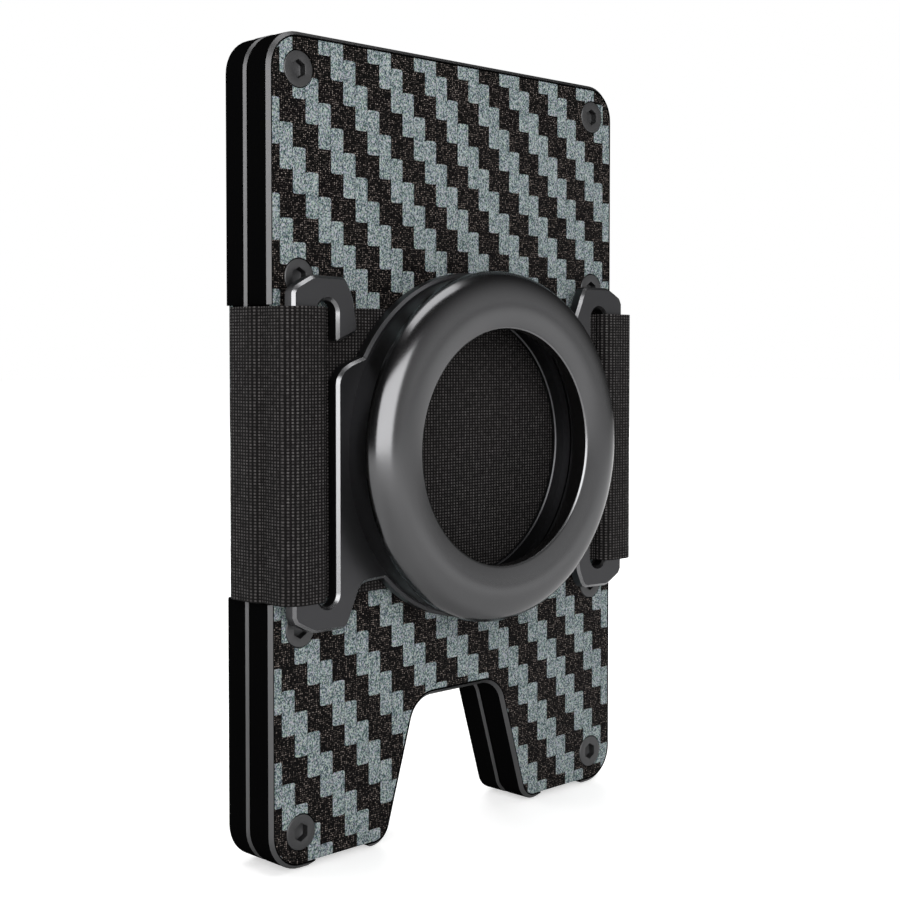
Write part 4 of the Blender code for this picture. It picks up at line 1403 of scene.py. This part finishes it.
@dataclass
class Bezel:
    """The rounded ring that screws into the cup and holds the tag."""

    hole: float = 13.0 * MM
    outer: float = 19.3 * MM
    crest_radius: float = 16.0 * MM
    skirt_outer: float = 17.2 * MM
    skirt_inner: float = 16.2 * MM
    lip: float = 5.68 * MM
    lip_edge: float = 0.22 * MM

    def profile(self) -> list[Flat]:
        """(radius, height above the back carbon face) of the turned ring."""
        face = high("back_carbon_sheet").y
        crest = high("holder_bezel").y - face
        skirt = low("holder_bezel").y - face
        lip = self.lip
        shoulder = lip + self.lip_edge
        points = [(self.hole, crest - 0.62 * MM), (self.hole + 0.12 * MM, crest - 0.48 * MM)]
        for k in range(1, 14):
            share = k / 14
            points.append((
                self.hole + 0.12 * MM + (self.crest_radius - self.hole - 0.12 * MM) * share,
                crest - 0.48 * MM * (1 - share) ** 2,
            ))
        for k in range(25):
            turn = math.radians(90 - 90 * k / 24)
            points.append((
                self.crest_radius + (self.outer - self.crest_radius) * math.cos(turn),
                shoulder + (crest - shoulder) * math.sin(turn),
            ))
        points += [
            (self.outer - self.lip_edge, lip), (self.skirt_outer, lip),
            (self.skirt_outer, skirt), (self.skirt_inner, skirt), (self.skirt_inner, 6.4 * MM),
            (self.hole, 6.5 * MM),
        ]
        return points

    def build(self, metal: bpy.types.Material, edge: bpy.types.Material) -> None:
        """Turns the ring, paints a highlight on its two thin edges and rides it on its body."""
        face = high("back_carbon_sheet").y
        centre = Vector((0.0, face, centre_height()))
        points = [centre + Vector((radius, height, 0.0)) for radius, height in self.profile()]
        ring = Workpiece.trace("holder_bezel_turned", points, close=True)
        ring.spin(centre, Vector((0.0, 1.0, 0.0)), 192).slots(metal, edge)
        outer_cut = self.outer - self.lip_edge * 0.75
        lip = face + self.lip

        def painted_highlight_face(spot: Vector, way: Vector) -> bool:
            """Whether a face belongs to one of the two thin edges that carry the painted
            highlight.
            """
            radius = math.hypot(spot.x, spot.z - centre.z)
            low_edge = lip + 1e-5 < spot.y < lip + self.lip_edge and radius > outer_cut
            hole_edge = radius < self.hole + 0.11 * MM and way.y > 0.3
            return low_edge or hole_edge

        # The two thin edges take slot 1, a lighter copy of the gunmetal: a painted highlight.
        ring.pick_faces(painted_highlight_face).paint_picked(1)
        ring.smooth(40.0)
        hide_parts("holder_bezel")
        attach(ring.obj, "bezel")
        report(ring)


@dataclass
class ElasticBand:
    """One closed loop of webbing, from inside the front panel over the holder's arms."""

    thickness: float = 0.7 * MM
    rows: int = 10

    def half_path(self) -> list[Flat]:
        """(x, y) of the band on the +X side, from the front run to the back run."""
        run = (low("band_front_run").y + high("band_front_run").y) / 2
        under = (low("band_back_run").y + high("band_back_run").y) / 2
        face = high("back_carbon_sheet").y
        edge = HALF_WIDTH - 0.6 * MM
        half = self.thickness / 2
        arm, slot, inner = TagHolder.arm_outer, TagHolder.slot_outer, TagHolder.slot_inner
        side = high("band_side_right").x - half
        waist = edge + 0.25 * MM + half
        top = high("band_loop_right").y - half
        through = slot - half - 0.27 * MM
        beside = arm + half + 0.35 * MM
        return [
            (edge - 2.0 * MM, run), (edge - 0.9 * MM, run), (edge + 0.15 * MM, run - 0.02 * MM),
            (edge + 0.62 * MM, run - 0.28 * MM), (side - 0.2 * MM, run - 0.08 * MM),
            (side, run + 0.6 * MM), (side, run + 1.8 * MM), (side, face - 2.1 * MM),
            (side - 0.22 * MM, face - 1.4 * MM), (waist + 0.08 * MM, face - 0.85 * MM),
            (waist, face - 0.25 * MM), (waist + 0.08 * MM, face + 0.9 * MM),
            (waist + 0.06 * MM, face + 1.7 * MM), (max(waist - 0.1 * MM, beside), face + 2.5 * MM),
            (arm + 0.05 * MM, top - 0.15 * MM), (arm - 0.85 * MM, top),
            (arm - 1.8 * MM, top - 0.08 * MM), (slot + 0.45 * MM, top - 0.1 * MM),
            (through + 0.42 * MM, top - 0.35 * MM), (through + 0.06 * MM, top - 0.95 * MM),
            (through, top - 1.8 * MM), (through - 0.45 * MM, under + 0.45 * MM),
            (inner + 0.6 * MM, under + 0.06 * MM), (inner - 0.2 * MM, under),
            (inner - 1.6 * MM, under),
        ]

    def loop(self) -> list[Vector]:
        """The whole mid-line as a closed loop of (x, y), starting inside the front panel."""
        right = [Vector(p) for p in curve_through(self.half_path(), 7)]
        back = []
        start = right[-1]
        for k in range(1, 40):
            back.append(Vector((start.x - 2 * start.x * k / 40, start.y)))
        left = [Vector((-p.x, p.y)) for p in reversed(right)]
        front = []
        end = left[-1]
        for k in range(1, 40):
            front.append(Vector((end.x - 2 * end.x * k / 40, end.y)))
        half = len(front) // 2
        return front[half:] + right + back + left + front[:half]

    def build(self, finish: bpy.types.Material) -> None:
        """Draws the loop, raises it to the band's width and gives it its thickness."""
        loop = self.loop()
        bottom, top = low("band_back_run").z, high("band_back_run").z
        band = Workpiece.trace(
            "elastic_band_webbing", [Vector((p.x, p.y, bottom)) for p in loop], close=True
        )
        with band.edit(Element.EDGE):
            bpy.ops.mesh.select_all(action="SELECT")
            for _ in range(self.rows):
                bpy.ops.mesh.extrude_region_move(
                    TRANSFORM_OT_translate={"value": (0.0, 0.0, (top - bottom) / self.rows)}
                )
        band.tidy()
        band.apply("SOLIDIFY", thickness=self.thickness, offset=0.0, use_even_offset=False)
        band.apply("BEVEL", width=0.16 * MM, segments=3, limit_method="ANGLE",
                   angle_limit=math.radians(60))
        length = self._lay_uv(band, loop)
        band.slots(finish).smooth(45.0)
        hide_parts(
            "band_front_run", "band_back_run", "band_side_left", "band_side_right",
            "band_loop_left", "band_loop_right",
        )
        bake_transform(band.obj)
        LOG.info("band: %.1f mm of %.0f mm webbing", length / MM, (top - bottom) / MM)
        report(band)

    @staticmethod
    def _lay_uv(band: Workpiece, loop: Sequence[Vector]) -> float:
        """Gives the band a UV map in metres: along the loop, and up.

        Args:
            band: The finished band.
            loop: Its closed mid-line.

        Returns:
            The loop's length.
        """
        line = np.array([(p.x, p.y) for p in loop])
        steps = np.linalg.norm(np.roll(line, -1, axis=0) - line, axis=1)
        reached = np.concatenate([[0.0], np.cumsum(steps)[:-1]])
        mesh = band.obj.data
        spots = np.array([v.co for v in mesh.vertices])
        gaps = ((spots[:, None, :2] - line[None]) ** 2).sum(axis=2)
        nearest = gaps.argmin(axis=1)
        after = np.roll(line, -1, axis=0)[nearest]
        way = after - line[nearest]
        share = ((spots[:, :2] - line[nearest]) * way).sum(axis=1) / (way ** 2).sum(axis=1)
        along = reached[nearest] + np.clip(share, -0.5, 1.0) * steps[nearest]
        layer = mesh.uv_layers.new(name="band")
        corners = np.array([loop_.vertex_index for loop_ in mesh.loops])
        flat = np.stack([along[corners], spots[corners, 2]], axis=1)
        layer.data.foreach_set("uv", flat.astype(np.float32).ravel())
        return float(steps.sum())


@dataclass
class Studio:
    """The pale floor, the soft lights and the camera."""

    lens: float = 61.5
    camera_spot: tuple[float, float, float] = (0.1228, 0.1240, 0.0534)
    aim: tuple[float, float, float] = (0.0, 0.0, 0.0474)
    shift_y: float = -0.05
    floor_colour: tuple[float, float, float] = (0.8, 0.8, 0.8)
    floor_reach: float = 2.4
    glow: Flat = (0.5, 1.0)
    bounce: Flat = (0.0, 0.35)
    dim: float = 0.03
    gain: float = 0.75
    bright_from: tuple[float, float, float] = (0.6, -0.8, 0.0)

    def build(self) -> None:
        """Sets up everything round the wallet."""
        self._floor()
        self._camera()
        self._world()
        self._light("key", (0.42, 0.62, 0.12), (0.0, 0.0, 0.05), 0.9, 11.5)
        self._light("top", (0.0, 0.0, 0.9), (0.0, 0.0, 0.0), 0.6, 4.0)
        self._light("front", (-0.50, -0.6, 0.35), (0.0, 0.0, 0.05), 0.45, 4.5)
        self._light("front_fill", (0.5, -0.85, 0.55), (0.0, 0.0, 0.05), 0.9, 3.6)

    def _floor(self) -> None:
        """The floor that the wallet stands on."""
        reach = self.floor_reach
        floor = Workpiece.block(
            "floor", (-reach, -reach, -20 * MM), (reach, reach, -0.2 * MM)
        )
        floor.pick_edges(lambda a, b: abs(a.z - b.z) > 10 * MM).bevel(reach / 4, 12)
        made, wire, shader = principled("pale_floor")
        shader.inputs["Base Color"].default_value = (*self.floor_colour, 1.0)
        shader.inputs["Roughness"].default_value = 0.9
        shader.inputs["Specular IOR Level"].default_value = 0.1
        shader.inputs["Emission Color"].default_value = (1.0, 1.0, 1.0, 1.0)
        seen = wire.node("ShaderNodeLightPath").outputs["Is Camera Ray"]
        place = wire.node("ShaderNodeTexCoord").outputs["Object"]
        away = wire.node("ShaderNodeVectorMath", operation="LENGTH")
        wire.feed(away.inputs[0], place)
        glow = wire.ramp(away.outputs["Value"], 0.08, 0.4, *self.glow)
        bounce = wire.ramp(away.outputs["Value"], 0.05, 0.3, *self.bounce)
        wire.feed(
            shader.inputs["Emission Strength"],
            wire.math("MAXIMUM", wire.math("MULTIPLY", seen, glow), bounce),
        )
        floor.slots(made)

    def _camera(self) -> None:
        """The camera at the wallet's back left."""
        data = bpy.data.cameras.new("camera")
        data.lens = self.lens
        data.sensor_width = 36.0
        data.shift_y = self.shift_y
        data.clip_start = 0.01
        camera = bpy.data.objects.new("camera", data)
        bpy.context.scene.collection.objects.link(camera)
        spot = Vector(self.camera_spot)
        camera.location = spot
        way = Vector(self.aim) - spot
        camera.rotation_mode = "QUATERNION"
        camera.rotation_quaternion = way.to_track_quat("-Z", "Y")
        bpy.context.scene.camera = camera

    def _world(self) -> None:
        """A plain pale surround."""
        world = bpy.data.worlds.new("surround")
        world.use_nodes = True
        wire = Wiring(world.node_tree)
        background = world.node_tree.nodes["Background"]
        seen = wire.node("ShaderNodeLightPath").outputs["Is Camera Ray"]
        wire.feed(background.inputs["Color"], (1.0, 1.0, 1.0, 1.0))
        way = wire.node("ShaderNodeNewGeometry").outputs["Incoming"]
        along = wire.node("ShaderNodeVectorMath", operation="DOT_PRODUCT")
        wire.feed(along.inputs[0], way)
        wire.feed(along.inputs[1], self.bright_from)
        share = wire.math("POWER", wire.math("MAXIMUM", along.outputs["Value"], 0.0), 4.0)
        soft = wire.math("MULTIPLY_ADD", share, self.gain, self.dim)
        wire.feed(background.inputs["Strength"], wire.math("MAXIMUM", seen, soft))
        bpy.context.scene.world = world
        bpy.context.scene.view_settings.view_transform = "Standard"

    @staticmethod
    def _light(
        name: str, spot: Sequence[float], at: Sequence[float], size: float, power: float
    ) -> None:
        """A square soft light that faces a point."""
        data = bpy.data.lights.new(name, "AREA")
        data.shape = "SQUARE"
        data.size = size
        data.energy = power
        light = bpy.data.objects.new(name, data)
        bpy.context.scene.collection.objects.link(light)
        light.location = spot
        light.rotation_mode = "QUATERNION"
        light.rotation_quaternion = (Vector(at) - Vector(spot)).to_track_quat("-Z", "Y")


@dataclass
class Finishes:
    """Every material of the wallet, built once."""

    black: bpy.types.Material
    # Lighter copy of the black plate for the chamfers: a painted edge highlight.
    edge: bpy.types.Material
    screw: bpy.types.Material
    clip: bpy.types.Material
    holder: bpy.types.Material
    holder_edge: bpy.types.Material
    bezel: bpy.types.Material
    webbing: bpy.types.Material
    carbon: dict[Face, bpy.types.Material]

    @classmethod
    def build(cls) -> "Finishes":
        """All the finishes."""
        return cls(
            black=MetalFinish("black_anodised", (0.002, 0.002, 0.0021), 0.3, 0.0,
                              specular=0.0).build(),
            # A lighter, reflective copy of the black anodised plate for its chamfers: painted edge
            # highlight.
            edge=MetalFinish("plate_edge_highlight", (0.1, 0.1, 0.102), 0.45, smudge=0.0).build(),
            screw=MetalFinish("satin_screw_steel", (0.09, 0.09, 0.092), 0.42, smudge=0.0).build(),
            clip=MetalFinish("gunmetal_spring_steel", (0.12, 0.12, 0.123), 0.32,
                             tooth=0.004).build(),
            holder=MetalFinish("gunmetal_holder", (0.065, 0.065, 0.068), 0.38, smudge=0.02,
                               grain=0.01).build(),
            # A lighter copy of the gunmetal for the ears' chamfers and the bezel's thin edges:
            # painted highlight.
            holder_edge=MetalFinish("holder_edge", (0.2, 0.2, 0.205), 0.28).build(),
            bezel=MetalFinish("gunmetal_bezel", (0.118, 0.118, 0.121), 0.2, smudge=0.01,
                              grain=0.0).build(),
            webbing=WebbingFinish().build(),
            carbon={
                Face.FRONT: CarbonFinish(
                    Face.FRONT, 1.91 * MM, 2.0 * MM, -0.09 * MM, -43.16 * MM
                ).build(),
                Face.BACK: CarbonFinish(
                    Face.BACK, 1.69 * MM, 2.41 * MM, -1.5 * MM, -42.96 * MM
                ).build(),
            },
        )


def report(piece: Workpiece) -> None:
    """Logs a finished piece."""
    LOG.info("%s: %d faces", piece.obj.name, len(piece.obj.data.polygons))


def main() -> None:
    """Builds the wallet and its studio."""
    logging.basicConfig(level=logging.INFO, format="%(message)s")
    Studio().build()
    finishes = Finishes.build()
    for face in Face:
        Panel(face).build(finishes)
    MoneyClip().build(finishes.clip)
    TagHolder().build(finishes.holder, finishes.holder_edge)
    Bezel().build(finishes.bezel, finishes.holder_edge)
    ElasticBand().build(finishes.webbing)


if __name__ == "__main__":
    main()
